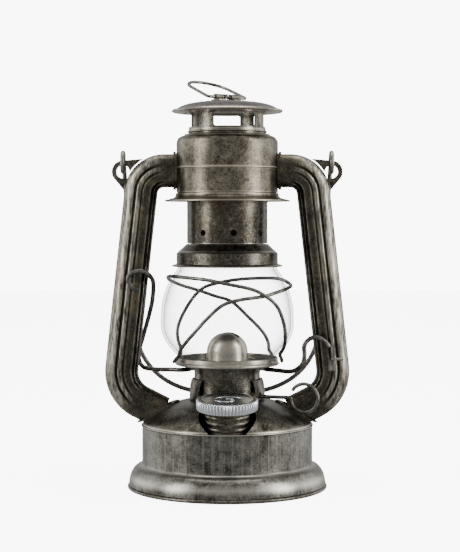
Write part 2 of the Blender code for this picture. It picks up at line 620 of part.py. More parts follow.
def section(name, width, depth, count=14):
    """Closed outline of an air tube: a flat oval with full corners."""
    curve = bpy.data.curves.new(name, "CURVE")
    curve.dimensions = "2D"
    spline = curve.splines.new("POLY")
    spline.points.add(count - 1)
    for i, point in enumerate(spline.points):
        at = 2 * math.pi * (i + 0.5) / count
        x = width / 2 * math.copysign(abs(math.cos(at)) ** 0.8, math.cos(at))
        y = depth / 2 * math.copysign(abs(math.sin(at)) ** 0.8, math.sin(at))
        point.co = (y, x, 0, 1)
        point.radius = 1.0
    spline.use_cyclic_u = True
    obj = bpy.data.objects.new(name, curve)
    return hide(obj)


def sweep(name, points, width, depth, look=None, count=14):
    """A solid bar of the tube's section along points."""
    outline = section(name + "_section", width, depth, count)
    curve = bpy.data.curves.new(name, "CURVE")
    curve.dimensions = "3D"
    curve.bevel_mode = "OBJECT"
    curve.bevel_object = outline
    curve.use_fill_caps = True
    spline = curve.splines.new("POLY")
    spline.points.add(len(points) - 1)
    for point, at in zip(spline.points, points):
        point.co = (*at, 1.0)
        point.radius = 1.0
    obj = bpy.data.objects.new(name, curve)
    PARTS.objects.link(obj)
    bpy.context.view_layer.update()
    made = as_mesh(obj, look)
    bpy.data.objects.remove(outline, do_unlink=True)
    return made


def make_tubes():
    """The air tubes, the flanges at both their ends, and the bores that go through hood and dome."""
    bores = []
    hood_face = HOOD_RADIUS + HOOD_BEAD + GAP
    flange_face = hood_face + FLANGE_THICKNESS + GAP
    tall = (HOOD_LEVEL + HOOD_SKIRT_HEIGHT + 1 * MM, HOOD_LEVEL + 80 * MM)
    for side, name in ((-1, "left"), (1, "right")):
        path, middle = tube_path(side, HOOD_RADIUS - 8 * MM, 24 * MM)
        longer = tube_path(side, HOOD_RADIUS - 14 * MM, 28 * MM)[0]
        inside = (TUBE_WIDTH - 2 * TUBE_WALL, TUBE_DEPTH - 2 * TUBE_WALL)
        around = (TUBE_WIDTH + 2 * FLANGE_WIDTH, TUBE_DEPTH + 2 * FLANGE_WIDTH)
        bore = sweep("tube_bore_" + name, longer, *inside)
        bores.append(bore)
        tube = sweep("air_tube_" + name, path, TUBE_WIDTH, TUBE_DEPTH, "aged")
        boolean(tube, bore)
        boolean(tube, turned("tube_end_hood_" + name, [(0, tall[1]), (flange_face, tall[1]), (flange_face, tall[0] - 6 * MM),
                                                       (0, tall[0] - 6 * MM)], None, closed=False))
        boolean(tube, turned("tube_end_dome_" + name, foot_surface(GAP + FLANGE_THICKNESS + GAP), None,
                             closed=False))
        head = [p for p in path[:2]]
        flange = sweep("hood_flange_" + name, head, *around, "aged")
        boolean(flange, turned("flange_room_" + name,
                               [(hood_face + FLANGE_THICKNESS, tall[1]), (hood_face + FLANGE_THICKNESS, tall[0] - 9 * MM),
                                (hood_face, tall[0] - 9 * MM), (hood_face, tall[1])], None), "INTERSECT")
        boolean(flange, bore)
        foot = sweep("tube_foot_" + name, path[-2:], *around, "aged")
        boolean(foot, turned("foot_top_" + name, foot_surface(GAP + FLANGE_THICKNESS), None, closed=False),
                "INTERSECT")
        boolean(foot, turned("foot_under_" + name, foot_surface(GAP), None, closed=False))
        boolean(foot, bore)
        make_ear(side, name, middle)
    return bores


def ear_hole(middle, side):
    """Middle of the ear's hole, out along a diagonal from the middle of the upper bend."""
    reach = EAR_REACH + 4.0 * MM
    at = math.radians(28.5)
    return (middle[0] + side * reach * math.cos(at), middle[1] + reach * math.sin(at))


def make_ear(side, name, middle):
    """A flat lug on the outer bend, with a hole that the bail's eye hangs in."""
    hub = ear_hole(middle, side)
    root = UPPER_BEND + TUBE_WIDTH / 2 + GAP
    inner = arc((0, 0), root, math.radians(60), math.radians(6), 8)
    centre = (side * (hub[0] - middle[0]), hub[1] - middle[1])
    outer = arc(centre, EAR_RADIUS, math.radians(-48), math.radians(95), 12)
    outline = inner + outer
    curve = bpy.data.curves.new("bail_ear_" + name, "CURVE")
    curve.dimensions = "2D"
    curve.fill_mode = "BOTH"
    curve.extrude = EAR_THICKNESS / 2
    hole = arc(centre, EAR_HOLE, 0, 2 * math.pi * 15 / 16, 16)
    for points in (outline, hole):
        spline = curve.splines.new("POLY")
        spline.points.add(len(points) - 1)
        for point, at in zip(spline.points, points):
            point.co = (middle[0] + side * at[0], middle[1] + at[1], 0, 1)
            point.radius = 1.0
        spline.use_cyclic_u = True
    obj = bpy.data.objects.new("bail_ear_" + name, curve)
    obj.matrix_world = Matrix.Rotation(math.pi / 2, 4, "X")
    PARTS.objects.link(obj)
    bpy.context.view_layer.update()
    as_mesh(obj, "aged")


def make_hood(bores):
    wall = SHEET
    skirt = HOOD_LEVEL + HOOD_SKIRT_HEIGHT
    turned("hood_skirt", [(HOOD_RADIUS - wall, skirt), (HOOD_RADIUS, skirt), (HOOD_RADIUS + 0.6 * MM, skirt - 2.4 * MM),
                          (HOOD_SKIRT_RADIUS - 0.6 * MM, HOOD_LEVEL + 1.5 * MM), (HOOD_SKIRT_RADIUS, HOOD_LEVEL + 0.6 * MM),
                          (HOOD_SKIRT_RADIUS - 0.6 * MM, HOOD_LEVEL), (HOOD_SKIRT_RADIUS - 1.6 * MM, HOOD_LEVEL + 0.6 * MM),
                          (HOOD_RADIUS - wall, skirt - 3.4 * MM)], "hood")
    foot = skirt + GAP
    top = foot + HOOD_DRUM
    bead = HOOD_LEVEL + HOOD_BEAD_LEVEL
    lip = CROWN_RADIUS + 0.5 * MM
    outline = [(lip, top + HOOD_SHOULDER - GAP), (lip + 2.6 * MM, top + HOOD_SHOULDER - GAP)]
    span = HOOD_RADIUS - lip - 2.6 * MM
    rise = HOOD_SHOULDER - GAP
    outline += [(HOOD_RADIUS - span * (1 - math.sin(a)), top + rise * math.cos(a))
                for a in (math.radians(25), math.radians(50), math.radians(75))]
    outline += [(HOOD_RADIUS, top - 1 * MM), (HOOD_RADIUS, bead + 1.4 * MM), (HOOD_RADIUS + HOOD_BEAD, bead + 0.5 * MM),
                (HOOD_RADIUS + HOOD_BEAD, bead - 0.5 * MM), (HOOD_RADIUS, bead - 1.4 * MM), (HOOD_RADIUS, foot)]
    inner = HOOD_RADIUS - wall
    outline += [(inner, foot), (inner, top - 1 * MM), (inner - 0.35 * span, top + 0.66 * rise - wall),
                (lip + 2.6 * MM, top + rise - wall), (lip, top + rise - wall)]
    shell = turned("hood_shell", outline, "hood")
    for bore in bores:
        boolean(shell, bore)
    level = HOOD_LEVEL + BAFFLE_LEVEL
    clear = CHIMNEY_RADIUS + 0.9 * MM
    turned("hood_baffle", [(HOOD_RADIUS - wall - GAP, level + wall), (HOOD_RADIUS - wall - GAP, level),
                           (clear, level), (clear, level + wall)], "dark")


def make_chimney():
    wall = SHEET
    band = HOLDER_LEVEL + 1.6 * MM + HOLDER_BAND
    lip = GLOBE_TOP_RADIUS - GLASS - 2.6 * MM
    outline = [(CHIMNEY_RADIUS + 0.6 * MM, CHIMNEY_FOOT), (HOLDER_RADIUS, band), (HOLDER_RADIUS, HOLDER_LEVEL + 1.8 * MM),
               (HOLDER_FLANGE_RADIUS, HOLDER_LEVEL + 1.2 * MM), (HOLDER_FLANGE_RADIUS, HOLDER_LEVEL),
               (GLOBE_TOP_RADIUS + GAP, HOLDER_LEVEL + 0.2 * MM), (GLOBE_TOP_RADIUS + GAP, GLOBE_TOP + GAP),
               (lip, GLOBE_TOP + GAP), (lip, GLOBE_TOP + GAP + wall), (HOLDER_RADIUS - wall, GLOBE_TOP + GAP + wall),
               (HOLDER_RADIUS - wall, band - 0.4 * MM), (CHIMNEY_RADIUS - wall + 0.6 * MM, CHIMNEY_FOOT - 0.4 * MM)]
    turned("globe_holder", outline, "dark")
    foot = CHIMNEY_FOOT + GAP
    seat = CHIMNEY_RADIUS + 2 * SPRING_INSET
    tube = turned("chimney_tube", [(seat, CHIMNEY_TOP), (seat, CHIMNEY_TOP - wall), (CHIMNEY_RADIUS, CHIMNEY_TOP - wall),
                                   (CHIMNEY_RADIUS, foot), (CHIMNEY_RADIUS - wall, foot),
                                   (CHIMNEY_RADIUS - wall, CHIMNEY_TOP)], "dark")
    level = foot + VENT_HOLE_LEVEL
    for k in range(VENT_HOLES):
        at = math.radians(9) + 2 * math.pi * k / VENT_HOLES - math.pi / 2
        out = Vector((math.cos(at), math.sin(at), 0))
        boolean(tube, rod(f"vent_hole_{k}", VENT_HOLE_RADIUS, out * (CHIMNEY_RADIUS - 5 * MM) + Vector((0, 0, level)),
                          out * (CHIMNEY_RADIUS + 5 * MM) + Vector((0, 0, level)), None, 10))
    crown_foot = CHIMNEY_TOP - CROWN_NEST
    bead = CROWN_BEAD_LEVEL
    crown = turned("vent_crown", [(CROWN_RADIUS, CROWN_TOP), (CROWN_RADIUS, bead + 1.2 * MM),
                                  (CROWN_RADIUS + CROWN_BEAD, bead + 0.5 * MM), (CROWN_RADIUS + CROWN_BEAD, bead - 0.5 * MM),
                                  (CROWN_RADIUS, bead - 1.2 * MM), (CROWN_RADIUS, crown_foot),
                                  (CROWN_RADIUS - wall, crown_foot), (CROWN_RADIUS - wall, CROWN_TOP)], "lid")
    low = bead + 3.0 * MM
    for k in range(WINDOWS // 2):
        turn = Matrix.Rotation(math.radians(12.5) + k * math.pi / 2, 4, "Z")
        half = CROWN_RADIUS * math.sin(math.pi / 4) - WINDOW_POST / 2 * math.sin(math.pi / 4)
        boolean(crown, block(f"window_{k}", (-half, -50 * MM, low), (half, 50 * MM, low + WINDOW_HEIGHT), matrix=turn))
    r = LID_RADIUS
    top = LID_TOP
    roof = [(0, top), (12 * MM, top - 0.1 * MM), (r - 14 * MM, top - 1.2 * MM), (r - 5 * MM, LID_LEVEL + 3.2 * MM),
            (r - 3 * MM, LID_LEVEL + 2.2 * MM), (r - 1 * MM, LID_LEVEL + 1.8 * MM), (r, LID_LEVEL + 1.0 * MM),
            (r - 0.6 * MM, LID_LEVEL), (r - 1.4 * MM, LID_LEVEL + 0.4 * MM), (r - 3 * MM, LID_LEVEL + 1.3 * MM),
            (r - 5 * MM, LID_LEVEL + 2.2 * MM), (CROWN_RADIUS + 1 * MM, CROWN_TOP + 1.2 * MM),
            (CROWN_RADIUS + 0.5 * MM, CROWN_TOP + GAP), (CROWN_RADIUS - wall - 1 * MM, CROWN_TOP + GAP),
            (12 * MM, top - wall - 0.1 * MM), (0, top - wall)]
    lid = turned("chimney_lid", roof, "lid", closed=False)
    for k in range(LID_HOLES):
        at = math.radians(3) + 2 * math.pi * (k + 0.5) / LID_HOLES - math.pi / 2
        spot = ((r - 2.4 * MM) * math.cos(at), (r - 2.4 * MM) * math.sin(at))
        boolean(lid, rod(f"lid_hole_{k}", LID_HOLE_RADIUS, (*spot, LID_LEVEL - 3 * MM), (*spot, LID_LEVEL + 8 * MM),
                         None, 8))
    foot = CHIMNEY_TOP + GAP + SPRING_WIRE / 2
    head = HOOD_TOP - wall - GAP - SPRING_WIRE / 2
    radius = CHIMNEY_RADIUS + SPRING_INSET
    count = SPRING_TURNS * 8
    points = [Vector((radius * math.cos(i * math.pi / 4), radius * math.sin(i * math.pi / 4),
                      foot + (head - foot - 1.4 * MM) * i / count)) for i in range(count + 1)]
    wire("chimney_spring", points, SPRING_WIRE, "wire", resolution=0)


def ring_matrix():
    return Matrix.Translation((0, 0, RING_LEVEL)) @ Matrix.Rotation(RING_YAW, 4, "Z")


def make_ring():
    frame = ring_matrix()
    turn = Matrix.Rotation(math.pi / 2, 4, "Y")
    bore = RING_WIRE / 2 + 0.2 * MM
    outer = bore + 0.8 * MM
    foot = LID_TOP + GAP - RING_LEVEL
    for at, name in ((-7.5 * MM, "left"), (5.5 * MM, "right")):
        knuckle = turned("ring_knuckle_" + name, [(outer, 3.2 * MM), (outer, -3.2 * MM), (bore, -3.2 * MM), (bore, 3.2 * MM)],
                         "lid", frame @ Matrix.Translation((at, 0, 0)) @ turn, steps=12)
        strap = block("knuckle_foot_" + name, (at - 3.0 * MM, -4.5 * MM, foot), (at + 3.0 * MM, 4.5 * MM, foot + 0.8 * MM),
                      matrix=frame)
        boolean(knuckle, strap, "UNION")
    lean = Matrix.Rotation(RING_LEAN, 4, "X")
    path = [(RING_HALF_WIDTH, 0, 0), (RING_HALF_WIDTH + 1 * MM, 3 * MM, 0)]
    for i in range(11):
        at = math.pi * i / 10
        path.append((RING_HALF_WIDTH * math.cos(at) * 1.02, RING_LEG + RING_HALF_WIDTH * math.sin(at), 0))
    path += [(-RING_HALF_WIDTH - 1 * MM, 3 * MM, 0), (-RING_HALF_WIDTH, 0, 0)]
    wire("lift_ring", [frame @ lean @ Vector(p) for p in path], RING_WIRE, "wire", cyclic=True)
    coil = []
    radius = RING_WIRE / 2 + 0.35 * MM + 0.4 * MM
    for i in range(25):
        at = i * math.pi / 4
        coil.append(frame @ Vector((-3.6 * MM + 5.2 * MM * i / 24, radius * math.cos(at), radius * math.sin(at))))
    wire("ring_spring", coil, 0.8 * MM, "wire", resolution=0)


def make_lever():
    """A wire that runs under the globe's plate round the back of the collar. Its left end hooks round
    the left air tube, and its right end arches in front of the right one."""
    z = LEVER_LEVEL
    clear = TUBE_DEPTH / 2 + LEVER_CLEARANCE + LEVER_WIRE / 2
    round_collar = SHIELD_RADIUS + 1.2 * MM + LEVER_WIRE / 2
    right_edge = TUBE_SPREAD - TUBE_WIDTH / 2
    left_edge = -(TUBE_SPREAD - TUBE_WIDTH / 2)
    rise = z + LEVER_RISE
    shift = LEVER_RISE * math.tan(TUBE_LEAN)
    points = [(left_edge + 0.5 * MM, -clear, rise - 12 * MM), (left_edge - 4.0 * MM, -clear, rise - 9.5 * MM),
              (left_edge - 6.5 * MM, -clear, rise - 4 * MM), (left_edge - 3.0 * MM, -clear, rise + 0.5 * MM),
              (left_edge + 4.0 * MM, -clear, rise + 0.8 * MM),
              (left_edge + shift + 1.4 * MM, -clear + 4.0 * MM, rise - 3.5 * MM),
              (left_edge + shift + 2.4 * MM, 1 * MM, rise - 9 * MM),
              (left_edge + shift + 1.4 * MM, 6 * MM, rise - 20 * MM), (left_edge + 6.0 * MM, clear - 1.0 * MM, rise - 32 * MM),
              (left_edge + 2.0 * MM, clear + 0.6 * MM, rise - 46 * MM), (left_edge - 1.0 * MM, clear + 1.2 * MM, rise - 58 * MM),
              (left_edge + 1.5 * MM, clear + 0.6 * MM, z + 2 * MM), (left_edge + 9 * MM, clear - 2 * MM, z),
              (-40 * MM, 7 * MM, z), (-round_collar - 4 * MM, 4 * MM, z)]
    points += [(-round_collar * math.cos(a), round_collar * math.sin(a), z)
               for a in [math.radians(15 + 15 * i) for i in range(11)]]
    points += [(round_collar + 4 * MM, 3 * MM, z), (42 * MM, -3 * MM, z - 0.4 * MM), (47 * MM, -8 * MM, z + 1.2 * MM),
               (right_edge - 9.4 * MM, -clear, z + 6 * MM), (right_edge - 8.2 * MM, -clear, z + 12 * MM),
               (right_edge - 8.4 * MM, -clear, z + 18 * MM), (right_edge - 5.2 * MM, -clear, z + 22.4 * MM),
               (right_edge - 0.6 * MM, -clear, z + 24 * MM), (right_edge + 3.6 * MM, -clear, z + 22.6 * MM),
               (right_edge + 7.0 * MM, -clear, z + 19.6 * MM), (right_edge + 8.6 * MM, -clear, z + 17 * MM)]
    wire("lift_lever", smooth(points, 60), LEVER_WIRE, "wire", resolution=1)
    strap_top = PLATE_LEVEL - GAP
    for side, name in ((-1, "left"), (1, "right")):
        x = side * (round_collar + 0.4 * MM)
        block("lever_strap_" + name, (x - 2.2 * MM, 4.4 * MM, z + LEVER_WIRE / 2 + GAP), (x + 2.2 * MM, 10.4 * MM, strap_top),
              "dark")


def make_latch():
    """A small upright lug on the front of the right air tube, with a pin that the lever's end clips by."""
    x = TUBE_SPREAD + 0.6 * MM
    z = TANK_HEIGHT + 45.6 * MM
    face = -TUBE_DEPTH / 2 - GAP
    lug = block("lever_latch", (x - 1.0 * MM, face - 5.0 * MM, z - 8 * MM), (x + 0.2 * MM, face, z + 8 * MM), "zinc")
    foot = block("latch_foot", (x - 4.0 * MM, face - 0.9 * MM, z - 8 * MM), (x + 0.1 * MM, face, z - 1 * MM))
    boolean(lug, foot, "UNION")
    boolean(lug, rod("latch_bore", 1.15 * MM, (x - 5 * MM, face - 3.0 * MM, z), (x + 5 * MM, face - 3.0 * MM, z),
                     None, 12))
    rod("latch_pin", 0.95 * MM, (x - 2.6 * MM, face - 3.0 * MM, z), (x + 6.0 * MM, face - 3.0 * MM, z), "zinc", 12)


def bail_frame():
    """Frame of the bail: its hinge runs along X through both of its eyes."""
    middle = tube_path(1, HOOD_RADIUS, 10 * MM)[1]
    hub = ear_hole(middle, 1)
    return hub[0], hub[1] + BAIL_EYE


def make_bail():
    half, level = bail_frame()
    eye = [(half, BAIL_EYE * math.cos(a), BAIL_EYE * math.sin(a))
           for a in [math.radians(-75 - 285 * i / 13) for i in range(14)]]
    straight = BAIL_LENGTH - BAIL_CROWN
    eye += [(half - BAIL_TAPER * i / 4, BAIL_EYE, -straight * i / 4) for i in range(1, 4)]
    wide = half - BAIL_TAPER
    power = 2 / 2.5
    crown = []
    for i in range(19):
        at = math.pi * i / 18
        x = wide * math.copysign(abs(math.cos(at)) ** power, math.cos(at))
        crown.append((x, BAIL_EYE, -straight - BAIL_CROWN * math.sin(at) ** power))
    points = eye + crown + [(-x, y, z) for x, y, z in reversed(eye)]
    frame = Matrix.Translation((0, 0, level)) @ Matrix.Rotation(BAIL_REST, 4, "X")
    wire("bail", [frame @ Vector(p) for p in points], BAIL_WIRE, "wire")


def make_duct():
    """An open tray under the dome that takes the air from both tubes to the burner."""
    reach = 50 * MM
    half = 10.4 * MM
    floor = TANK_HEIGHT - 1 * MM
    tray = block("air_duct", (-reach, -half, floor), (reach, half, DOME_TOP), "tank")
    boolean(tray, block("duct_way", (-reach + SHEET, -half + SHEET, floor + SHEET),
                        (reach - SHEET, half - SHEET, DOME_TOP + 20 * MM)))
    above = [(0, DOME_TOP + 30 * MM), (90 * MM, DOME_TOP + 30 * MM)]
    above += [(90 * MM, TANK_HEIGHT - 2 * MM)]
    low = dome_outline(-SHEET - GAP - 0.3 * MM, 0.0, 10)
    above += list(reversed(low))
    boolean(tray, turned("above_duct", above, None, closed=False))
    gap = GAP + WICK_CLEARANCE + WICK_TUBE_WALL
    boolean(tray, block("duct_slot", (-WICK_WIDTH / 2 - gap, -WICK_THICKNESS / 2 - gap, floor - 5 * MM),
                        (WICK_WIDTH / 2 + gap, WICK_THICKNESS / 2 + gap, floor + 5 * MM), matrix=burner_matrix()))


def main():
    make_tank()
    bores = make_tubes()
    make_dome(bores)
    make_duct()
    make_filler()
    make_burner()
    make_globe()
    make_guard()
    make_hood(bores)
    make_chimney()
    make_ring()
    make_lever()
    make_latch()
    make_bail()


main()
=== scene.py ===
"""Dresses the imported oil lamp: fine pressed-metal, wire and glass meshes around the fixed frame, with
aged tinplate, drawn wire, zinc, nickel and cotton finishes, on a plain pale floor in soft light."""

import json
import math

import bmesh
import bpy
from mathutils import Matrix, Vector


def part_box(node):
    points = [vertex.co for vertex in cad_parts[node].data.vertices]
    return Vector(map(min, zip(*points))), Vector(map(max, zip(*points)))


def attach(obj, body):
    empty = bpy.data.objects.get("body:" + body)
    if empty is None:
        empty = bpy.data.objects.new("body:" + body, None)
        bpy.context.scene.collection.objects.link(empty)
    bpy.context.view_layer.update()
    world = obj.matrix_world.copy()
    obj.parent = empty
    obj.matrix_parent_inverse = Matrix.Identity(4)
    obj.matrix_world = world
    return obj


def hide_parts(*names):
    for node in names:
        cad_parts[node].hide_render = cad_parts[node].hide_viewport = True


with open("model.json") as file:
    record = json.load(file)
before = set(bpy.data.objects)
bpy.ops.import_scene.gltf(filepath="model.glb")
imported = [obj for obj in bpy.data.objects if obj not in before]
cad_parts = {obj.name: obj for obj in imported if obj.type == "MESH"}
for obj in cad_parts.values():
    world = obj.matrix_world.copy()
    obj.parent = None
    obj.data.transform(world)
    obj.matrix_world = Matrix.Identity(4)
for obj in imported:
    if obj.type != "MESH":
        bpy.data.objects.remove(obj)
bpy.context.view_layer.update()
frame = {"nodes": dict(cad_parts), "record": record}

bl_info = {
    "name": "Oil lamp dressing",
    "version": (1, 0, 0),
    "blender": (4, 5, 0),
    "location": "View3D > Sidebar > Oil lamp",
    "description": "Fine meshes and finishes for a hurricane oil lamp",
    "category": "Object",
}

MM = 0.001
BOX = {name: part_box(name) for name in frame["nodes"]}
JOINTS = {joint["name"]: joint for joint in frame["record"]["behaviour"]["joints"]}

# Fixed sizes of the lamp, beside those in LampSizes.
DOME_EDGE = 20.6 * MM
SHIELD_RADIUS = 25.7 * MM
CROWN_RADIUS = 26.4 * MM
GUARD_RADIUS = 35.9 * MM
FRAME_TUBE_WIDTH = 23.6 * MM
FRAME_TUBE_DEPTH = 18.0 * MM
FRAME_LEVER_WIRE = 3.3 * MM
LEVER_LEVEL = 80.45 * MM
HOOD_BEAD_LEVEL = 220.0 * MM
CROWN_BEAD_LEVEL = 244.6 * MM
RING_LEVEL = 268.2 * MM

# The stage. The floor and the backdrop glow for the camera, and hardly light the lamp.
WORLD_LIGHT = 0.62
FLOOR_GLOW = 7.4
BACKDROP_GLOW = 8.4
CARD_GLOW = 0.50
CARD = [(-0.9, -1.9, -0.4), (0.9, -1.9, -0.4), (0.9, -1.9, 1.6), (-0.9, -1.9, 1.6)]
LENS = 99.15
SENSOR = 36.0
CAMERA_PLACE = (0.0019, -1.046, 0.1835)
CAMERA_TILT = 2.07
SOFTBOXES = [
    ("left_softbox", (-1.1, -0.55, 0.55), (0, 0, 0.12), (0.30, 1.1), 9.0),
    ("right_softbox", (1.1, -0.45, 0.55), (0, 0, 0.12), (0.40, 1.1), 13.0),
    ("left_rim", (-1.2, 0.55, 0.35), (0, 0, 0.12), (0.9, 1.1), 5.0),
    ("right_rim", (1.2, 0.55, 0.35), (0, 0, 0.12), (0.9, 1.1), 5.5),
    ("top_softbox", (0.0, 0.1, 1.4), (0, 0, 0.1), (1.0, 0.8), 11.0),
]


def top(node):
    return BOX[node][1][2]


def foot(node):
    return BOX[node][0][2]


def reach(node):
    """Half the width of a turned node."""
    return (BOX[node][1][0] - BOX[node][0][0]) / 2


# ---------------------------------------------------------------- sizes and colours


class LampSizes(bpy.types.PropertyGroup):
    segments: bpy.props.IntProperty(name="Segments", description="Facets round a turned piece",
                                    default=112, min=24)
    sheet: bpy.props.FloatProperty(name="Sheet", description="Thickness of the pressed metal",
                                   default=0.7 * MM,
                                   unit="LENGTH")
    tube_width: bpy.props.FloatProperty(name="Tube width", description="Width of an air tube",
                                        default=22.9 * MM,
                                        unit="LENGTH")
    tube_depth: bpy.props.FloatProperty(name="Tube depth", description="Front to back of an air tube",
                                        default=17.8 * MM, unit="LENGTH")
    ridge: bpy.props.FloatProperty(name="Ridge", description="Depth of the pressed ridges in the tubes",
                                   default=1.15 * MM, unit="LENGTH")
    knurl_teeth: bpy.props.IntProperty(name="Knurl teeth", description="Teeth round the filler cap",
                                       default=56, min=12)
    lever_wire: bpy.props.FloatProperty(name="Lever wire", description="Diameter of the lift lever",
                                        default=3.2 * MM,
                                        unit="LENGTH")
    guard_wire: bpy.props.FloatProperty(name="Guard wire", description="Diameter of the guard wires",
                                        default=2.6 * MM,
                                        unit="LENGTH")
    bail_wire: bpy.props.FloatProperty(name="Bail wire", description="Diameter of the bail",
                                       default=3.3 * MM,
                                       unit="LENGTH")


class LampColours(bpy.types.PropertyGroup):
    # Dark tin, much darkened, also paints the shade in the grooves of the air tubes.
    tin_dark: bpy.props.FloatVectorProperty(name="Dark tin", description="Deepest patina", subtype="COLOR",
                                            default=(0.030, 0.0275, 0.021))
    tin_mid: bpy.props.FloatVectorProperty(name="Grey tin", description="Ordinary patina", subtype="COLOR",
                                           default=(0.215, 0.205, 0.172))
    # Worn tin is also the colour of the painted highlight bands on rims and beads and of the painted
    # highlight along the tube ridges.
    tin_bright: bpy.props.FloatVectorProperty(name="Worn tin",
                                              description="Metal where it is rubbed bright",
                                              subtype="COLOR", default=(0.50, 0.47, 0.40))
    wire_tone: bpy.props.FloatVectorProperty(name="Wire", description="Drawn steel wire", subtype="COLOR",
                                             default=(0.085, 0.081, 0.075))
    zinc: bpy.props.FloatVectorProperty(name="Zinc", description="Bright plating of the filler cap",
                                        subtype="COLOR",
                                        default=(0.72, 0.75, 0.78))
    nickel: bpy.props.FloatVectorProperty(name="Nickel", description="Burner cone and globe plate",
                                          subtype="COLOR",
                                          default=(0.62, 0.58, 0.49))
    floor: bpy.props.FloatVectorProperty(name="Floor", description="Floor and backdrop", subtype="COLOR",
                                         default=(0.93, 0.93, 0.93))


def sizes():
    return bpy.context.scene.lamp_sizes


def colours():
    return bpy.context.scene.lamp_colours


# ---------------------------------------------------------------- mesh helpers


def finish_mesh(name, bm, body, stands_for, look, smooth=35):
    """Makes a piece of a bmesh, gives it its finish and seats it on its body."""
    bmesh.ops.remove_doubles(bm, verts=bm.verts, dist=0.000004)
    bmesh.ops.recalc_face_normals(bm, faces=bm.faces)
    mesh = bpy.data.meshes.new(name)
    bm.to_mesh(mesh)
    bm.free()
    mesh.shade_smooth()
    mesh.set_sharp_from_angle(angle=math.radians(smooth))
    piece = bpy.data.objects.new(name, mesh)
    bpy.context.scene.collection.objects.link(piece)
    mesh.materials.append(look)
    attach(piece, body)
    if stands_for:
        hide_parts(*stands_for)
    return piece


def lathe(outline, closed=True, segments=None, matrix=None):
    """A turned bmesh: (radius, height) points, closed into a ring or ending on the axis."""
    bm = bmesh.new()
    verts = [bm.verts.new((r, 0, z)) for r, z in outline]
    pairs = list(zip(verts, verts[1:]))
    if closed:
        pairs.append((verts[-1], verts[0]))
    edges = [bm.edges.new(pair) for pair in pairs]
    bmesh.ops.spin(bm, geom=verts + edges, cent=(0, 0, 0), axis=(0, 0, 1), angle=2 * math.pi,
                   steps=segments or sizes().segments, use_merge=True)
    bmesh.ops.remove_doubles(bm, verts=bm.verts, dist=0.000004)
    if matrix is not None:
        bmesh.ops.transform(bm, matrix=matrix, verts=bm.verts)
    return bm


def bead(radius, level, size, count=7):
    """Points down a small half-round bead on an outer wall."""
    return [(radius + size * math.sin(math.pi * i / (count - 1)),
             level + size * math.cos(math.pi * i / (count - 1))) for i in range(count)]


def arc(angle, count, first=0):
    """Sines and cosines along a turn from 0 to an angle, in count steps."""
    return [(math.sin(angle * i / count), math.cos(angle * i / count)) for i in range(first, count + 1)]


def shell(outer, wall):
    """A closed outline: an outer side that runs down, and its inner side at a wall's distance."""
    inner = []
    for i, (r, z) in enumerate(outer):
        before = outer[max(i - 1, 0)]
        after = outer[min(i + 1, len(outer) - 1)]
        run = Vector((after[0] - before[0], after[1] - before[1])).normalized()
        inner.append((max(r + run.y * wall, 0.0), z - run.x * wall))
    return list(outer) + list(reversed(inner))


def round_path(points, count):
    """Points along a smooth curve through the given ones, evenly spaced in length."""
    points = [Vector(p) for p in points]
    ends = [2 * points[0] - points[1]] + points + [2 * points[-1] - points[-2]]
    fine = []
    for k in range(len(points) - 1):
        a, b, c, d = ends[k:k + 4]
        for j in range(16):
            t = j / 16
            fine.append(0.5 * (2 * b + (c - a) * t + (2 * a - 5 * b + 4 * c - d) * t ** 2
                               + (3 * b - a - 3 * c + d) * t ** 3))
    fine.append(points[-1])
    lengths = [0.0]
    for p, q in zip(fine, fine[1:]):
        lengths.append(lengths[-1] + (q - p).length)
    made = []
    k = 0
    for i in range(count):
        want = lengths[-1] * i / (count - 1)
        while k < len(lengths) - 2 and lengths[k + 1] < want:
            k += 1
        t = (want - lengths[k]) / max(lengths[k + 1] - lengths[k], 1e-9)
        made.append(fine[k].lerp(fine[k + 1], min(t, 1.0)))
    return made


def sweep(stations, section, cyclic=False, across=None):
    """A bmesh lofted along stations. section(k) gives the outline there as (u, v) points; across is
    the fixed direction of v, or None for a frame that turns as little as it can."""
    bm = bmesh.new()
    rings = []
    count = len(stations)
    normal = None
    for k, at in enumerate(stations):
        ahead = stations[(k + 1) % count] if cyclic or k < count - 1 else at
        behind = stations[k - 1] if cyclic or k > 0 else at
        along = (ahead - behind).normalized()
        if across is not None:
            v_axis = across
        else:
            if normal is None:
                normal = along.orthogonal()
            normal = (normal - along * normal.dot(along)).normalized()
            v_axis = normal
        u_axis = v_axis.cross(along).normalized()
        rings.append([bm.verts.new(at + u_axis * u + v_axis * v) for u, v in section(k)])
    loops = [[bm.edges.new((a, b)) for a, b in zip(ring, ring[1:] + ring[:1])] for ring in rings]
    for first, second in zip(loops, loops[1:] + (loops[:1] if cyclic else [])):
        bmesh.ops.bridge_loops(bm, edges=first + second)
    if not cyclic:
        bmesh.ops.contextual_create(bm, geom=loops[0])
        bmesh.ops.contextual_create(bm, geom=loops[-1])
    return bm


def circle(radius, count=14):
    return [(radius * math.cos(2 * math.pi * i / count), radius * math.sin(2 * math.pi * i / count))
            for i in range(count)]


def wire(points, diameter, count=120, cyclic=False):
    """A round wire with softly rounded ends."""
    stations = round_path(points, count)
    if cyclic:
        stations = stations[:-1]
    last = len(stations) - 1

    def section(k):
        end = min(k, last - k)
        narrow = 1.0 if cyclic or end > 0 else 0.72
        return circle(diameter / 2 * narrow)

    return sweep(stations, section, cyclic)


def box_bmesh(low, high, matrix=None, bevel=0.0):
    bm = bmesh.new()
    bmesh.ops.create_cube(bm, size=1.0)
    low, high = Vector(low), Vector(high)
    bmesh.ops.scale(bm, vec=high - low, verts=bm.verts)
    bmesh.ops.translate(bm, vec=(low + high) / 2, verts=bm.verts)
    if bevel:
        bmesh.ops.bevel(bm, geom=bm.edges[:], offset=bevel, segments=2, profile=0.5, affect="EDGES",
                        material=-1)
    if matrix is not None:
        bmesh.ops.transform(bm, matrix=matrix, verts=bm.verts)
    return bm


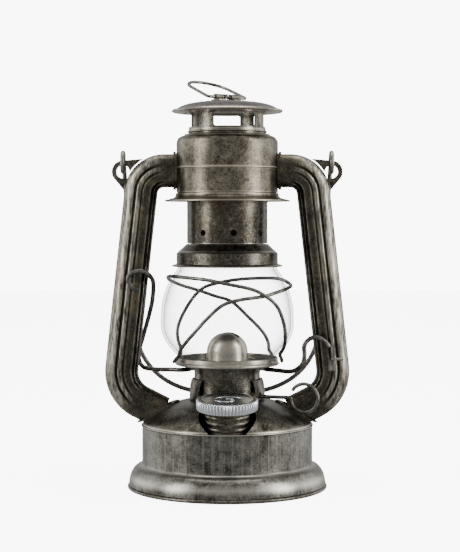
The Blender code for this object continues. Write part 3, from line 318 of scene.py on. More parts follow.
def rod_bmesh(radius, start, end, segments=24):
    start, end = Vector(start), Vector(end)
    bm = bmesh.new()
    bmesh.ops.create_cone(bm, cap_ends=True, segments=segments, radius1=radius, radius2=radius,
                          depth=(end - start).length)
    turn = Vector((0, 0, 1)).rotation_difference(end - start).to_matrix().to_4x4()
    bmesh.ops.transform(bm, matrix=Matrix.Translation((start + end) / 2) @ turn, verts=bm.verts)
    return bm


def carve(bm, tools, operation="DIFFERENCE"):
    """Cuts each tool out of a bmesh, or joins or keeps what is common, and returns the new bmesh."""
    def solid(source):
        bmesh.ops.recalc_face_normals(source, faces=source.faces)
        mesh = bpy.data.meshes.new("work")
        source.to_mesh(mesh)
        source.free()
        made = bpy.data.objects.new("work", mesh)
        bpy.context.scene.collection.objects.link(made)
        return made

    work = solid(bm)
    helpers = [solid(tool) for tool in tools]
    for helper in helpers:
        step = work.modifiers.new("cut", "BOOLEAN")
        step.operation = operation
        step.solver = "EXACT"
        step.object = helper
    graph = bpy.context.evaluated_depsgraph_get()
    mesh = bpy.data.meshes.new_from_object(work.evaluated_get(graph))
    made = bmesh.new()
    made.from_mesh(mesh)
    for used in [work] + helpers:
        old = used.data
        bpy.data.objects.remove(used, do_unlink=True)
        bpy.data.meshes.remove(old)
    bpy.data.meshes.remove(mesh)
    return made


# ---------------------------------------------------------------- shader helpers


class Value:
    """A number that varies over a surface, written as an expression."""

    def __init__(self, look, socket):
        self.look = look
        self.socket = socket

    def math(self, operation, *others, clamp=False):
        return self.look.number("ShaderNodeMath", {"operation": operation, "use_clamp": clamp}, self,
                                *others)

    def __add__(self, other):
        return self.math("ADD", other)

    def __radd__(self, other):
        return self.math("ADD", other)

    def __sub__(self, other):
        return self.math("SUBTRACT", other)

    def __rsub__(self, other):
        return self.look.number("ShaderNodeMath", {"operation": "SUBTRACT"}, other, self)

    def __mul__(self, other):
        return self.math("MULTIPLY", other)

    def __truediv__(self, other):
        return self.math("DIVIDE", other)

    def clamp(self):
        return self.math("ADD", 0.0, clamp=True)

    def rise(self, low, high):
        """0 below low and 1 above high, with a straight climb between."""
        return ((self - low) / (high - low)).clamp()

    def near(self, centre, width):
        """1 at a value, falling to 0 at a distance from it."""
        return (1.0 - (self - centre).math("ABSOLUTE") / width).clamp()


class Look:
    """A material with its Principled shader, and the one method that adds any other node."""

    def __init__(self, name, roughness=0.4, metallic=1.0):
        self.material = bpy.data.materials.new(name)
        self.material.use_nodes = True
        self.tree = self.material.node_tree
        self.shader = self.tree.nodes["Principled BSDF"]
        self.shader.inputs["Roughness"].default_value = roughness
        self.shader.inputs["Metallic"].default_value = metallic
        self.coordinates = self.tree.nodes.new("ShaderNodeTexCoord").outputs["Object"]

    def node(self, kind, settings=None, inputs=None):
        made = self.tree.nodes.new(kind)
        for key, value in (settings or {}).items():
            if key == "stops":
                ramp = made.color_ramp
                while len(ramp.elements) < len(value):
                    ramp.elements.new(0.5)
                for element, (position, colour) in zip(ramp.elements, value):
                    element.position = position
                    element.color = (*colour, 1.0)
            else:
                setattr(made, key, value)
        for key, value in (inputs or {}).items():
            value = value.socket if isinstance(value, Value) else value
            if isinstance(value, bpy.types.NodeSocket):
                self.tree.links.new(value, made.inputs[key])
            else:
                made.inputs[key].default_value = value
        return made

    def number(self, kind, settings, *operands):
        made = self.node(kind, settings, dict(enumerate(operands)))
        return Value(self, made.outputs[0])

    def axes(self):
        split = self.node("ShaderNodeSeparateXYZ", None, {0: self.coordinates})
        return [Value(self, split.outputs[i]) for i in range(3)]

    def stretch(self, scale, location=(0, 0, 0)):
        return self.node("ShaderNodeMapping", None, {"Vector": self.coordinates, "Scale": scale,
                                                     "Location": location}).outputs[0]

    def noise(self, scale, detail=4.0, roughness=0.6, vector=None, distortion=0.0):
        made = self.node("ShaderNodeTexNoise", None, {"Vector": vector or self.coordinates, "Scale": scale,
                                                      "Detail": detail, "Roughness": roughness,
                                                      "Distortion": distortion})
        return Value(self, made.outputs["Fac"])

    def mix(self, mask, first, second):
        made = self.node("ShaderNodeMix", {"data_type": "RGBA"}, {0: mask, 6: first, 7: second})
        return made.outputs[2]

    def ramp(self, mask, stops):
        return self.node("ShaderNodeValToRGB", {"stops": stops}, {0: mask}).outputs[0]

    def set(self, name, value):
        value = value.socket if isinstance(value, Value) else value
        if isinstance(value, bpy.types.NodeSocket):
            self.tree.links.new(value, self.shader.inputs[name])
        else:
            self.shader.inputs[name].default_value = value

    def bump(self, height, strength, distance):
        made = self.node("ShaderNodeBump", None,
                         {"Height": height, "Strength": strength, "Distance": distance})
        self.set("Normal", made.outputs[0])


def rgba(colour, factor=1.0):
    return (*[c * factor for c in colour], 1.0)


# ---------------------------------------------------------------- finishes


LOOKS = {}


def tinplate(name, tone=1.0, warm=1.0, streaks=0.0, spots=0.0, rubbed_and_highlit_bands=(), glow=0.0, roughness=0.36):
    """Aged tinplate: cloudy patina, fine salt-and-pepper grain, dark pits, brush marks that run up and
    down, and bright bands round rims and beads that are partly rubbed metal and partly painted highlight.
    The band list gives (height, width) of each band."""
    look = Look(name, roughness=roughness)
    palette = colours()
    tint = (warm, 1.0, 2.0 - warm)
    dark = rgba([c * t for c, t in zip(palette.tin_dark, tint)], tone)
    mid = rgba([c * t for c, t in zip(palette.tin_mid, tint)], tone)
    bright = rgba([c * t for c, t in zip(palette.tin_bright, tint)])
    z = look.axes()[2]
    clouds = look.noise(38.0, 5.0, 0.62, distortion=0.6)
    patches = look.noise(120.0, 6.0, 0.7)
    grain = look.noise(900.0, 3.0, 0.7)
    coarse = look.noise(420.0, 4.0, 0.75)
    cloud = (clouds * 0.5 + patches * 0.5).rise(0.38, 0.62)
    base = look.mix(cloud, dark, mid)
    base = look.mix(coarse.rise(0.50, 0.72) * cloud.rise(0.1, 0.9) * 0.42, base, bright)
    base = look.mix(grain.rise(0.56, 0.74) * 0.38, base, bright)
    base = look.mix(grain.rise(0.48, 0.34) * 0.75, base, rgba(palette.tin_dark, 0.5))
    if streaks:
        brushed = look.noise(1.0, 3.0, 0.7, look.stretch((950, 950, 14)))
        fine = look.noise(1.0, 2.0, 0.7, look.stretch((2100, 2100, 24)))
        base = look.mix(brushed.rise(0.50, 0.75) * streaks, base, bright)
        base = look.mix(fine.rise(0.52, 0.36) * streaks * 0.7, base, rgba(palette.tin_dark))
    if spots:
        pits = look.node("ShaderNodeTexVoronoi", {"feature": "F1"},
                         {"Scale": 150.0, "Vector": look.coordinates})
        pit = Value(look, pits.outputs["Distance"])
        some = look.noise(70.0, 2.0, 0.5).rise(0.52, 0.66)
        base = look.mix(pit.rise(0.22, 0.10) * some * spots, base, rgba(palette.tin_dark, 0.5))
    # Painted highlight bands along rims and beads, broken up by noise like rubbed metal.
    rub_and_highlight = None
    for level, width in rubbed_and_highlit_bands:
        band = z.near(level, width)
        rub_and_highlight = band if rub_and_highlight is None else rub_and_highlight.math("MAXIMUM", band)
    if rub_and_highlight is not None:
        rub_and_highlight = (rub_and_highlight * (0.45 + patches * 0.9)).clamp()
        base = look.mix(rub_and_highlight * 0.85, base, bright)
    if glow:
        base = look.mix(look.noise(26.0, 3.0, 0.6).rise(0.5, 0.75) * glow, base, (0.20, 0.105, 0.05, 1.0))
    look.set("Base Color", base)
    look.set("Roughness", (roughness - 0.13) + grain * 0.14 + cloud * 0.08)
    look.bump(grain * 0.35 + coarse * 0.4 + patches * 0.5, 0.32, 0.00035)
    return look.material


def ridged_tin(name):
    """Air-tube tin: brassy clouding, painted shade in the grooves, and rubbed scratches with a painted
    highlight along the raised ridges.
    """
    look = Look(name, roughness=0.34)
    palette = colours()
    along = look.node("ShaderNodeAttribute", {"attribute_name": "across"})
    across = Value(look, along.outputs["Fac"])
    clouds = look.noise(45.0, 5.0, 0.65, distortion=0.5)
    patches = look.noise(210.0, 5.0, 0.75)
    grain = look.noise(950.0, 3.0, 0.7)
    dark = rgba(palette.tin_dark, 0.75)
    mid = rgba([palette.tin_mid[0] * 0.50, palette.tin_mid[1] * 0.49, palette.tin_mid[2] * 0.43])
    brassy = (0.30, 0.225, 0.125, 1.0)
    base = look.mix((clouds * 0.5 + patches * 0.5).rise(0.38, 0.66), dark, mid)
    base = look.mix(grain.rise(0.52, 0.74) * 0.34, base, rgba(palette.tin_bright, 0.8))
    base = look.mix(clouds.rise(0.52, 0.70) * 0.45, base, brassy)
    scratch_and_ridge_highlight = look.noise(1.0, 4.0, 0.8, look.stretch((520, 520, 60)))
    # Painted highlight on the raised ridges, streaked like scratches.
    base = look.mix(across.rise(0.55, 0.95) * scratch_and_ridge_highlight.rise(0.40, 0.62) * 0.8, base,
                    rgba(palette.tin_bright))
    # Painted shade in the grooves.
    base = look.mix(across.rise(0.55, 0.1) * 0.92, base, rgba(palette.tin_dark, 0.35))
    look.set("Base Color", base)
    look.set("Roughness", 0.27 + patches * 0.24)
    look.bump(grain * 0.3 + patches * 0.7, 0.3, 0.0004)
    return look.material


def drawn_wire(name, tone=1.0, bright=0.25):
    """Drawn steel wire: dark oxide with fine scuffs."""
    look = Look(name, roughness=0.3)
    scuffs = look.noise(260.0, 5.0, 0.7)
    grain = look.noise(1200.0, 2.0, 0.6)
    base = look.mix(scuffs.rise(0.45, 0.72) * bright * 2.2, rgba(colours().wire_tone, tone),
                    rgba(colours().tin_bright, 0.75))
    look.set("Base Color", base)
    look.set("Roughness", 0.22 + scuffs * 0.28)
    look.bump(grain * 0.5 + scuffs * 0.5, 0.2, 0.0002)
    return look.material


def plated(name, colour, dull=0.14, stain=None, scale=60.0):
    """Bright plating with faint clouding, hairlines and stains."""
    look = Look(name, roughness=dull)
    clouds = look.noise(scale, 5.0, 0.65, distortion=0.4)
    hair = look.noise(1.0, 3.0, 0.7, look.stretch((900, 140, 900)))
    base = look.mix(clouds.rise(0.35, 0.75) * 0.5, rgba(colour, 0.72), rgba(colour, 1.08))
    if stain:
        spots = look.noise(scale * 3.2, 5.0, 0.7)
        base = look.mix(spots.rise(0.50, 0.72) * 0.6, base, (*stain, 1.0))
    look.set("Base Color", base)
    look.set("Roughness", dull + clouds * 0.16 + hair * 0.08)
    look.bump(hair * 0.5 + clouds * 0.5, 0.12, 0.0002)
    return look.material


def clear_glass():
    """Thin clear glass that mostly lets the view through, with faint dust near its ends."""
    look = Look("globe_glass", roughness=0.02, metallic=0.0)
    look.shader.inputs["IOR"].default_value = 1.45
    look.shader.inputs["Base Color"].default_value = (0.16, 0.17, 0.165, 1.0)
    _, _, z = look.axes()
    facing = look.node("ShaderNodeLayerWeight", None, {"Blend": 0.42})
    edge = Value(look, facing.outputs["Facing"])
    dust = look.noise(80.0, 5.0, 0.7).rise(0.45, 0.8) * 0.05
    low, high = foot("globe"), top("globe")
    ends = z.near(low, 5 * MM) * 0.10 + z.near(high, 6 * MM) * 0.10
    look.set("Alpha", (0.04 + edge * edge * edge * 0.9 + dust + ends).clamp())
    look.set("Roughness", 0.02 + dust * 1.5)
    return look.material


def woven_cotton():
    """A flat woven wick: ribs across it, charred at the top."""
    look = Look("wick_cotton", roughness=0.95, metallic=0.0)
    look.shader.inputs["Sheen Weight"].default_value = 0.3
    x, y, z = look.axes()
    ribs = (z * 5200.0).math("SINE") * 0.5 + 0.5
    warp = ((x * 0.94 - y * 0.34) * 5600.0).math("SINE") * 0.5 + 0.5
    weave = ribs * 0.6 + warp * 0.4
    fuzz = look.noise(900.0, 3.0, 0.7)
    base = look.mix(weave, (0.42, 0.37, 0.28, 1.0), (0.80, 0.75, 0.64, 1.0))
    char = z.rise(top("wick") - 7 * MM, top("wick") - 2 * MM)
    base = look.mix((char * (0.6 + fuzz * 0.7)).clamp(), base, (0.02, 0.018, 0.015, 1.0))
    look.set("Base Color", base)
    look.bump(weave * 0.8 + fuzz * 0.3, 0.6, 0.0004)
    return look.material


def soft_rubber(name, colour):
    look = Look(name, roughness=0.7, metallic=0.0)
    grain = look.noise(700.0, 3.0, 0.6)
    look.set("Base Color", look.mix(grain, rgba(colour, 0.7), rgba(colour, 1.2)))
    look.set("Roughness", 0.6 + grain * 0.25)
    look.bump(grain, 0.3, 0.0003)
    return look.material


def make_looks():
    """Every finish of the lamp, under the name of what wears it."""
    seam = top("tank_shell")
    rim = top("tank_base")
    # Each band list gives bands of rubbed metal and painted highlight on rims, beads and the middle of the
    # tank's flare.
    LOOKS["tank"] = tinplate("tank_tin", tone=1.05, warm=0.98, streaks=0.38, spots=0.9,
                             rubbed_and_highlit_bands=[(seam, 1.0 * MM), (16.5 * MM, 1.2 * MM), (8.5 * MM, 3.5 * MM)],
                             roughness=0.34)
    LOOKS["dome"] = tinplate("dome_tin", tone=0.78, warm=1.04, spots=0.6,
                             rubbed_and_highlit_bands=[(seam + 0.4 * MM, 1.2 * MM)],
                             roughness=0.33)
    LOOKS["base"] = tinplate("base_tin", tone=0.75, warm=1.03, rubbed_and_highlit_bands=[(rim, 1.2 * MM)], spots=0.5)
    skirt = top("hood_skirt")
    LOOKS["hood"] = tinplate("hood_tin", tone=0.98, warm=1.07, spots=0.8, roughness=0.36,
                             rubbed_and_highlit_bands=[(foot("hood_skirt") + 0.6 * MM, 1.3 * MM), (skirt, 1.3 * MM),
                                   (HOOD_BEAD_LEVEL, 1.2 * MM),
                                   (top("hood_shell") - 1.6 * MM, 1.0 * MM)])
    LOOKS["lid"] = tinplate("lid_tin", tone=0.85, warm=1.03, streaks=0.25, roughness=0.30,
                            rubbed_and_highlit_bands=[(foot("chimney_lid") + 1.0 * MM, 1.6 * MM), (245.5 * MM, 1.3 * MM)])
    LOOKS["chimney"] = tinplate("chimney_tin", tone=0.5, warm=1.03, glow=0.15, roughness=0.32,
                                rubbed_and_highlit_bands=[(foot("globe_holder") + 0.7 * MM, 1.1 * MM), (162.8 * MM, 0.9 * MM),
                                      (top("globe_holder"), 1.0 * MM)])
    LOOKS["collar"] = tinplate("collar_tin", tone=0.62, warm=1.02, glow=0.12, roughness=0.26)
    LOOKS["tubes"] = ridged_tin("tube_tin")
    LOOKS["fittings"] = tinplate("fitting_tin", tone=0.62, warm=1.08, spots=0.4)
    LOOKS["wire"] = drawn_wire("dark_wire")
    LOOKS["guard"] = drawn_wire("guard_wire", tone=1.1, bright=0.35)
    LOOKS["bail"] = drawn_wire("bail_wire", tone=2.2, bright=0.5)
    LOOKS["ring"] = drawn_wire("ring_wire", tone=1.5, bright=0.4)
    LOOKS["zinc"] = plated("zinc_plate", colours().zinc, dull=0.12)
    LOOKS["nickel"] = plated("nickel_plate", colours().nickel, dull=0.2, stain=(0.30, 0.235, 0.14),
                             scale=90.0)
    LOOKS["plate"] = plated("plate_nickel", [c * 0.75 for c in colours().nickel], dull=0.2,
                            stain=(0.16, 0.12, 0.07), scale=120.0)
    LOOKS["brass"] = plated("dull_brass", (0.50, 0.37, 0.17), dull=0.28, stain=(0.16, 0.11, 0.05))
    LOOKS["glass"] = clear_glass()
    LOOKS["cotton"] = woven_cotton()
    LOOKS["gasket"] = soft_rubber("gasket_ring", (0.16, 0.10, 0.06))


# ---------------------------------------------------------------- turned pieces


def filler_frame():
    """Frame of the filler: its axis leans forwards out of the dome."""
    joint = JOINTS["cap_turn"]
    lean = Vector((0, 0, 1)).rotation_difference(Vector(joint["axis"])).to_matrix().to_4x4()
    return Matrix.Translation(joint["pos_m"]) @ lean


def burner_frame():
    """Frame of the burner, turned with its wick."""
    axis = Vector(JOINTS["wick_knob_turn"]["axis"])
    return Matrix.Rotation(math.atan2(axis.y, axis.x), 4, "Z")


def dome_height(radius):
    """The dome's outer surface at a radius."""
    inner = DOME_EDGE
    edge = reach("tank_top")
    low, high = top("tank_shell") + 0.3 * MM, top("tank_top")
    t = min(max((radius - inner) / (edge - inner), 0.0), 1.0)
    return low + (high - low) * (1 - t ** 1.9) ** 0.75


def dome_curve(inner, count=26, drop=0.0):
    edge = reach("tank_top")
    made = []
    for i in range(count):
        r = inner + (edge - inner) * math.sin(math.pi / 2 * i / (count - 1))
        made.append((r, dome_height(r) - drop))
    return made


def make_tank():
    wall = sizes().sheet
    radius = reach("tank_top") + 0.3 * MM
    seam = top("tank_shell")
    rim = foot("tank_shell")
    out = reach("tank_shell") - radius
    rise = 13.2 * MM
    side = [(radius + 0.35 * MM, seam), (radius + 0.55 * MM, seam - 0.35 * MM),
            (radius + 0.45 * MM, seam - 0.9 * MM), (radius, seam - 1.3 * MM), (radius, seam - 14 * MM),
            (radius, rim + rise + 2.2 * MM), (radius + 0.15 * MM, rim + rise + 1.0 * MM),
            (radius + 0.75 * MM, rim + rise + 0.35 * MM)]
    side += [(radius + 0.75 * MM + (out - 0.75 * MM) * sine,
              rim + rise * cosine) for sine, cosine in arc(math.pi / 2, 14, 1)]
    bm = lathe(shell(side, wall))
    finish_mesh("tank_wall", bm, "root", ["tank_shell"], LOOKS["tank"])
    seam_line = box_bmesh((-0.25 * MM, -radius - 0.22 * MM, rim + rise + 3 * MM),
                          (0.25 * MM, -radius + 0.3 * MM, seam - 1.6 * MM), bevel=0.1 * MM)
    finish_mesh("tank_side_seam", seam_line, "root", None, LOOKS["base"])
    base = reach("tank_base")
    height = rim - 0.3 * MM
    half = height / 2
    outline = [(0, top("tank_base"))] + [(base - 9 * MM, top("tank_base")), (base - 6 * MM, height)]
    outline += [(base - half + half * sine, half + half * cosine)
                for sine, cosine in arc(math.pi, 10)]
    outline += [(base - 6.0 * MM, 0), (base - 8.2 * MM, top("tank_base") - 0.8 * MM),
                (0, top("tank_base") - 0.8 * MM)]
    finish_mesh("tank_foot", lathe(outline, closed=False), "root", ["tank_base"], LOOKS["base"])


def make_dome():
    """The domed top, with the round pocket that the filler neck stands in, and holes for the air."""
    wall = sizes().sheet
    outer = dome_curve(20.7 * MM)
    inner = [(min(r, reach("tank_top") - wall), z - wall) for r, z in reversed(outer)]
    bm = lathe(outer + inner)
    place = filler_frame()
    pocket = 19.2 * MM
    inside = reach("tank_top") - wall - 0.4 * MM
    cup = rod_bmesh(pocket + wall, (0, 0, -3.2 * MM), (0, 0, 18 * MM), 72)
    bmesh.ops.transform(cup, matrix=place, verts=cup.verts)
    room = lathe([(0, top("tank_top") - 0.1 * MM)] + dome_curve(DOME_EDGE, drop=0.05 * MM)[:-1]
                 + [(inside, top("tank_shell")), (inside, 20 * MM), (0, 20 * MM)], closed=False)
    cup = carve(cup, [room], "INTERSECT")
    bm = carve(bm, [cup], "UNION")
    space = rod_bmesh(pocket, (0, 0, -2.4 * MM), (0, 0, 40 * MM), 72)
    bmesh.ops.transform(space, matrix=place, verts=space.verts)
    fuel = rod_bmesh(13.6 * MM, (0, 0, -12 * MM), (0, 0, 5 * MM), 48)
    bmesh.ops.transform(fuel, matrix=place, verts=fuel.verts)
    tools = [space, fuel]
    for side in (-1, 1):
        stations = tube_stations(side, 14 * MM)
        tools.append(sweep(stations[-10:], lambda k: oval(21.2 * MM, 15.6 * MM, 28),
                           across=Vector((0, 1, 0))))
    bm = carve(bm, tools)
    finish_mesh("tank_dome", bm, "root", ["tank_top"], LOOKS["dome"], smooth=32)
    lip = []
    for i in range(97):
        at = 2 * math.pi * i / 96
        local = Vector((pocket * math.cos(at), pocket * math.sin(at), 0))
        up = place @ local
        axis = (place.to_3x3() @ Vector((0, 0, 1)))
        for _ in range(4):
            radius = math.hypot(up.x, up.y)
            up += axis * (dome_height(radius) - up.z) / axis.z
        if math.hypot(up.x, up.y) < reach("tank_top") - 1.2 * MM:
            lip.append(up)
    lip.sort(key=lambda p: math.atan2(-(p.x), p.y + 42 * MM))
    bm = wire(lip, 0.9 * MM, 90)
    finish_mesh("pocket_lip", bm, "root", None, LOOKS["dome"])


def make_filler():
    place = filler_frame()
    base = -2.2 * MM
    neck_top = base + 20 * MM
    bore = 13.75 * MM
    root_radius = 14.55 * MM
    outer = [(root_radius, neck_top)]
    for ridge in range(4):
        level = neck_top - 3.6 * MM - ridge * 3.9 * MM
        outer += [(root_radius + 0.8 * MM * sine, level + 1.45 * MM * cosine)
                  for sine, cosine in arc(math.pi, 6)]
    outer += [(root_radius, base)]
    bm = lathe(outer + [(bore, base), (bore, neck_top)], segments=96, matrix=place)
    finish_mesh("filler_thread", bm, "root", ["filler_neck"], LOOKS["dome"])
    teeth = sizes().knurl_teeth
    radius = 20.3 * MM
    crown = base + 20 * MM + 0.3 * MM + 1.2 * MM + 0.3 * MM + 1.2 * MM
    skirt = 6.6 * MM
    steps = teeth * 6
    outer = [(0, crown - 0.4 * MM), (6 * MM, crown - 0.38 * MM), (12.5 * MM, crown - 0.35 * MM),
             (15.4 * MM, crown - 0.25 * MM),
             (16.4 * MM, crown + 0.15 * MM), (17.4 * MM, crown + 0.42 * MM), (18.6 * MM, crown + 0.4 * MM),
             (19.7 * MM, crown), (radius, crown - 0.7 * MM), (radius, crown - skirt + 0.6 * MM),
             (radius - 0.3 * MM, crown - skirt), (radius - 1.4 * MM, crown - skirt - 0.5 * MM),
             (15.9 * MM, crown - skirt), (15.9 * MM, crown - 1.2 * MM), (0, crown - 1.2 * MM)]
    bm = lathe(outer, closed=False, segments=steps)
    for vert in bm.verts:
        out = math.hypot(vert.co.x, vert.co.y)
        if out > radius - 0.45 * MM and crown - skirt - 0.1 * MM < vert.co.z < crown - 0.5 * MM:
            wave = 0.5 + 0.5 * math.cos(teeth * math.atan2(vert.co.y, vert.co.x))
            factor = 1.014 - 0.055 * (1 - wave) ** 1.4
            vert.co.x *= factor
            vert.co.y *= factor
    bmesh.ops.transform(bm, matrix=place, verts=bm.verts)
    finish_mesh("filler_lid", bm, "filler_cap", ["filler_cap"], LOOKS["zinc"], smooth=50)
    swirl = []
    for i in range(60):
        at = i / 59
        turn = 2.6 * math.pi * at
        out = 12.0 * MM * (1 - 0.78 * at)
        swirl.append(place @ Vector((out * math.cos(turn), out * 0.8 * math.sin(turn), crown - 0.42 * MM)))
    bm = wire(swirl, 0.7 * MM, 90)
    finish_mesh("lid_swirl", bm, "filler_cap", None, LOOKS["zinc"])


def make_burner():
    wall = sizes().sheet
    low, high = foot("burner_collar"), top("burner_collar")
    radius = reach("burner_collar")
    outer = [(radius - 0.3 * MM, high), (radius, high - 0.4 * MM), (radius - 0.1 * MM, high - 1.6 * MM),
             (radius - 0.7 * MM, high - 3.0 * MM), (radius - 1.0 * MM, high - 5 * MM),
             (radius - 1.05 * MM, high - 9 * MM),
             (radius - 1.0 * MM, low + 6 * MM), (radius - 0.8 * MM, low + 3 * MM), (radius - 0.3 * MM, low)]
    bm = lathe(shell(outer, wall))
    turn = burner_frame()
    joint = JOINTS["wick_knob_turn"]
    axis = Vector(joint["axis"])
    hole = rod_bmesh(2.2 * MM, Vector(joint["pos_m"]) + axis * (radius - 5 * MM),
                     Vector(joint["pos_m"]) + axis * (radius + 5 * MM))
    bm = carve(bm, [hole])
    finish_mesh("collar_wall", bm, "root", ["burner_collar"], LOOKS["collar"])
    for side, name in ((-1, "left"), (1, "right")):
        node = "air_shield_" + name
        out = max(abs(BOX[node][0][0]), abs(BOX[node][1][0]))
        tall = top(node)
        outer = [(radius + 0.7 * MM, tall), (radius + 1.3 * MM, tall - 1.6 * MM),
                 (out - 0.4 * MM, tall - 5 * MM),
                 (out - 0.15 * MM, tall - 9 * MM), (out, foot(node) + 0.3 * MM)]
        bm = lathe(shell(outer, wall))
        keep = box_bmesh((min(side * 9 * MM, side * 40 * MM), -16.6 * MM, 40 * MM),
                         (max(side * 9 * MM, side * 40 * MM), 16.6 * MM, 120 * MM))
        bm = carve(bm, [keep], "INTERSECT")
        if side > 0:
            bm = carve(bm, [rod_bmesh(2.8 * MM, Vector(joint["pos_m"]) + axis * 10 * MM,
                                      Vector(joint["pos_m"]) + axis * 40 * MM)])
        finish_mesh("air_wing_" + name, bm, "root", [node], LOOKS["dome"])
    cone_foot = foot("burner_cone")
    bend = cone_foot + 7 * MM
    size = 14.2 * MM
    outer = [(size * sine, bend + size * cosine) for sine, cosine in arc(math.pi / 2, 14)]
    outer[0] = (0, bend + size)
    outer += [(size, cone_foot + 1.8 * MM), (size + 0.25 * MM, cone_foot + 1.0 * MM),
              (size + 0.9 * MM, cone_foot + 0.6 * MM),
              (size + 0.9 * MM, cone_foot)]
    inner = [(max(r - wall, 0), z) for r, z in [(size, cone_foot)]]
    inner += [((size - wall) * cosine, bend + (size - wall) * sine)
              for sine, cosine in arc(math.pi / 2, 14)]
    inner[-1] = (0, bend + size - wall)
    bm = lathe(outer + inner, closed=False, segments=80)
    slot = box_bmesh((-8.9 * MM, -3 * MM, bend + 2 * MM), (8.9 * MM, 3 * MM, bend + 30 * MM), turn,
                     bevel=0.5 * MM)
    bm = carve(bm, [slot])
    finish_mesh("flame_cone", bm, "root", ["burner_cone"], LOOKS["nickel"])
    half = 8 * MM
    bm = box_bmesh((-half + 0.2 * MM, -1.0 * MM, foot("wick")), (half - 0.2 * MM, 1.0 * MM, top("wick")),
                   turn, 0.3 * MM)
    finish_mesh("cotton_wick", bm, "wick", ["wick"], LOOKS["cotton"])


def make_globe():
    low, high = foot("globe"), top("globe")
    wide = reach("globe")
    height = high - low
    neck, lip, belly = 4.8 * MM, 2.4 * MM, 26.5 * MM
    outer = []
    count = 48
    for i in range(count + 1):
        h = height * (1 - i / count)
        if h < neck:
            r = 33.4 * MM
        elif h < belly:
            t = 1 - (h - neck) / (belly - neck)
            r = 33.4 * MM + (wide - 33.4 * MM) * (1 - t * t)
        else:
            t = min((h - belly) / (height - lip - belly), 1.0)
            r = wide - (wide - 34.0 * MM) * t ** 2.66
        outer.append((r, low + h))
    bm = lathe(shell(outer, 1.7 * MM))
    finish_mesh("globe_glass", bm, "globe_carriage", ["globe"], LOOKS["glass"], smooth=60)


def make_plate():
    """The plate that carries the globe: a punched floor and a rolled rim."""
    low, high = foot("globe_plate"), top("globe_plate")
    out = 35.0 * MM
    wall = sizes().sheet
    outline = [(out - 0.5 * MM, high), (out - 0.1 * MM, high - 0.3 * MM), (out, high - 1.2 * MM),
               (out, low + 2.4 * MM),
               (out + 0.5 * MM, low + 1.9 * MM), (out + 0.85 * MM, low + 1.1 * MM),
               (out + 0.5 * MM, low + 0.3 * MM),
               (out - 0.2 * MM, low), (15.8 * MM, low), (15.8 * MM, low + wall), (22 * MM, low + wall),
               (out - 1.2 * MM, low + wall), (out - wall, low + wall + 0.4 * MM),
               (out - wall, high - 0.2 * MM)]
    bm = lathe(outline)
    tools = []
    for ring, count in ((19.6 * MM, 20), (24.4 * MM, 26), (29.2 * MM, 32)):
        for k in range(count):
            at = 2 * math.pi * (k + 0.37) / count
            spot = Vector((ring * math.cos(at), ring * math.sin(at), low))
            tools.append(rod_bmesh(1.15 * MM, spot - Vector((0, 0, 2 * MM)),
                                   spot + Vector((0, 0, 2 * MM)), 10))
    joined = bmesh.new()
    for tool in tools:
        mesh = bpy.data.meshes.new("tool")
        tool.to_mesh(mesh)
        tool.free()
        joined.from_mesh(mesh)
        bpy.data.meshes.remove(mesh)
    bm = carve(bm, [joined])
    finish_mesh("plate_punched", bm, "globe_carriage", ["globe_plate"], LOOKS["plate"])


def make_chimney():
    wall = sizes().sheet
    low = foot("globe_holder")
    band = low + 9.6 * MM
    high = top("globe_holder")
    wide = reach("globe_holder")
    drum = 34.9 * MM
    tube = 27.7 * MM
    outer = [(tube + 0.5 * MM, high - 0.1 * MM), (tube + 1.2 * MM, high - 0.9 * MM),
             (drum - 1.0 * MM, band + 0.6 * MM),
             (drum - 0.2 * MM, band), (drum, band - 0.8 * MM), (drum, low + 2.6 * MM),
             (drum + 0.3 * MM, low + 2.0 * MM),
             (wide - 0.5 * MM, low + 1.25 * MM), (wide, low + 0.8 * MM), (wide - 0.3 * MM, low + 0.15 * MM)]
    inner = [(34.5 * MM, low + 0.3 * MM), (34.4 * MM, low + 1.7 * MM),
             (drum - wall - 0.2 * MM, low + 2.4 * MM),
             (drum - wall, band - 0.9 * MM), (drum - wall - 0.8 * MM, band - 0.2 * MM),
             (tube + 0.5 * MM - wall, high - 1.4 * MM),
             (tube + 0.5 * MM - wall, high - 0.2 * MM)]
    finish_mesh("globe_hood", lathe(outer + inner), "chimney", ["globe_holder"],
                LOOKS["chimney"])
    foot_level = foot("chimney_tube")
    head = top("chimney_tube")
    seat = reach("chimney_tube")
    outline = [(seat, head), (seat, head - wall), (tube + 0.4 * MM, head - wall),
               (tube, head - wall - 0.5 * MM), (tube, foot_level + 12 * MM),
               (tube, foot_level), (tube - wall, foot_level), (tube - wall, head)]
    bm = lathe(outline)
    tools = []
    for k in range(8):
        at = math.radians(9) + 2 * math.pi * k / 8 - math.pi / 2
        out = Vector((math.cos(at), math.sin(at), 0))
        spot = Vector((0, 0, foot_level + 7.4 * MM))
        tools.append(rod_bmesh(2.2 * MM, spot + out * 20 * MM, spot + out * 34 * MM))
    finish_mesh("chimney_wall", carve(bm, tools), "chimney", ["chimney_tube"], LOOKS["chimney"])


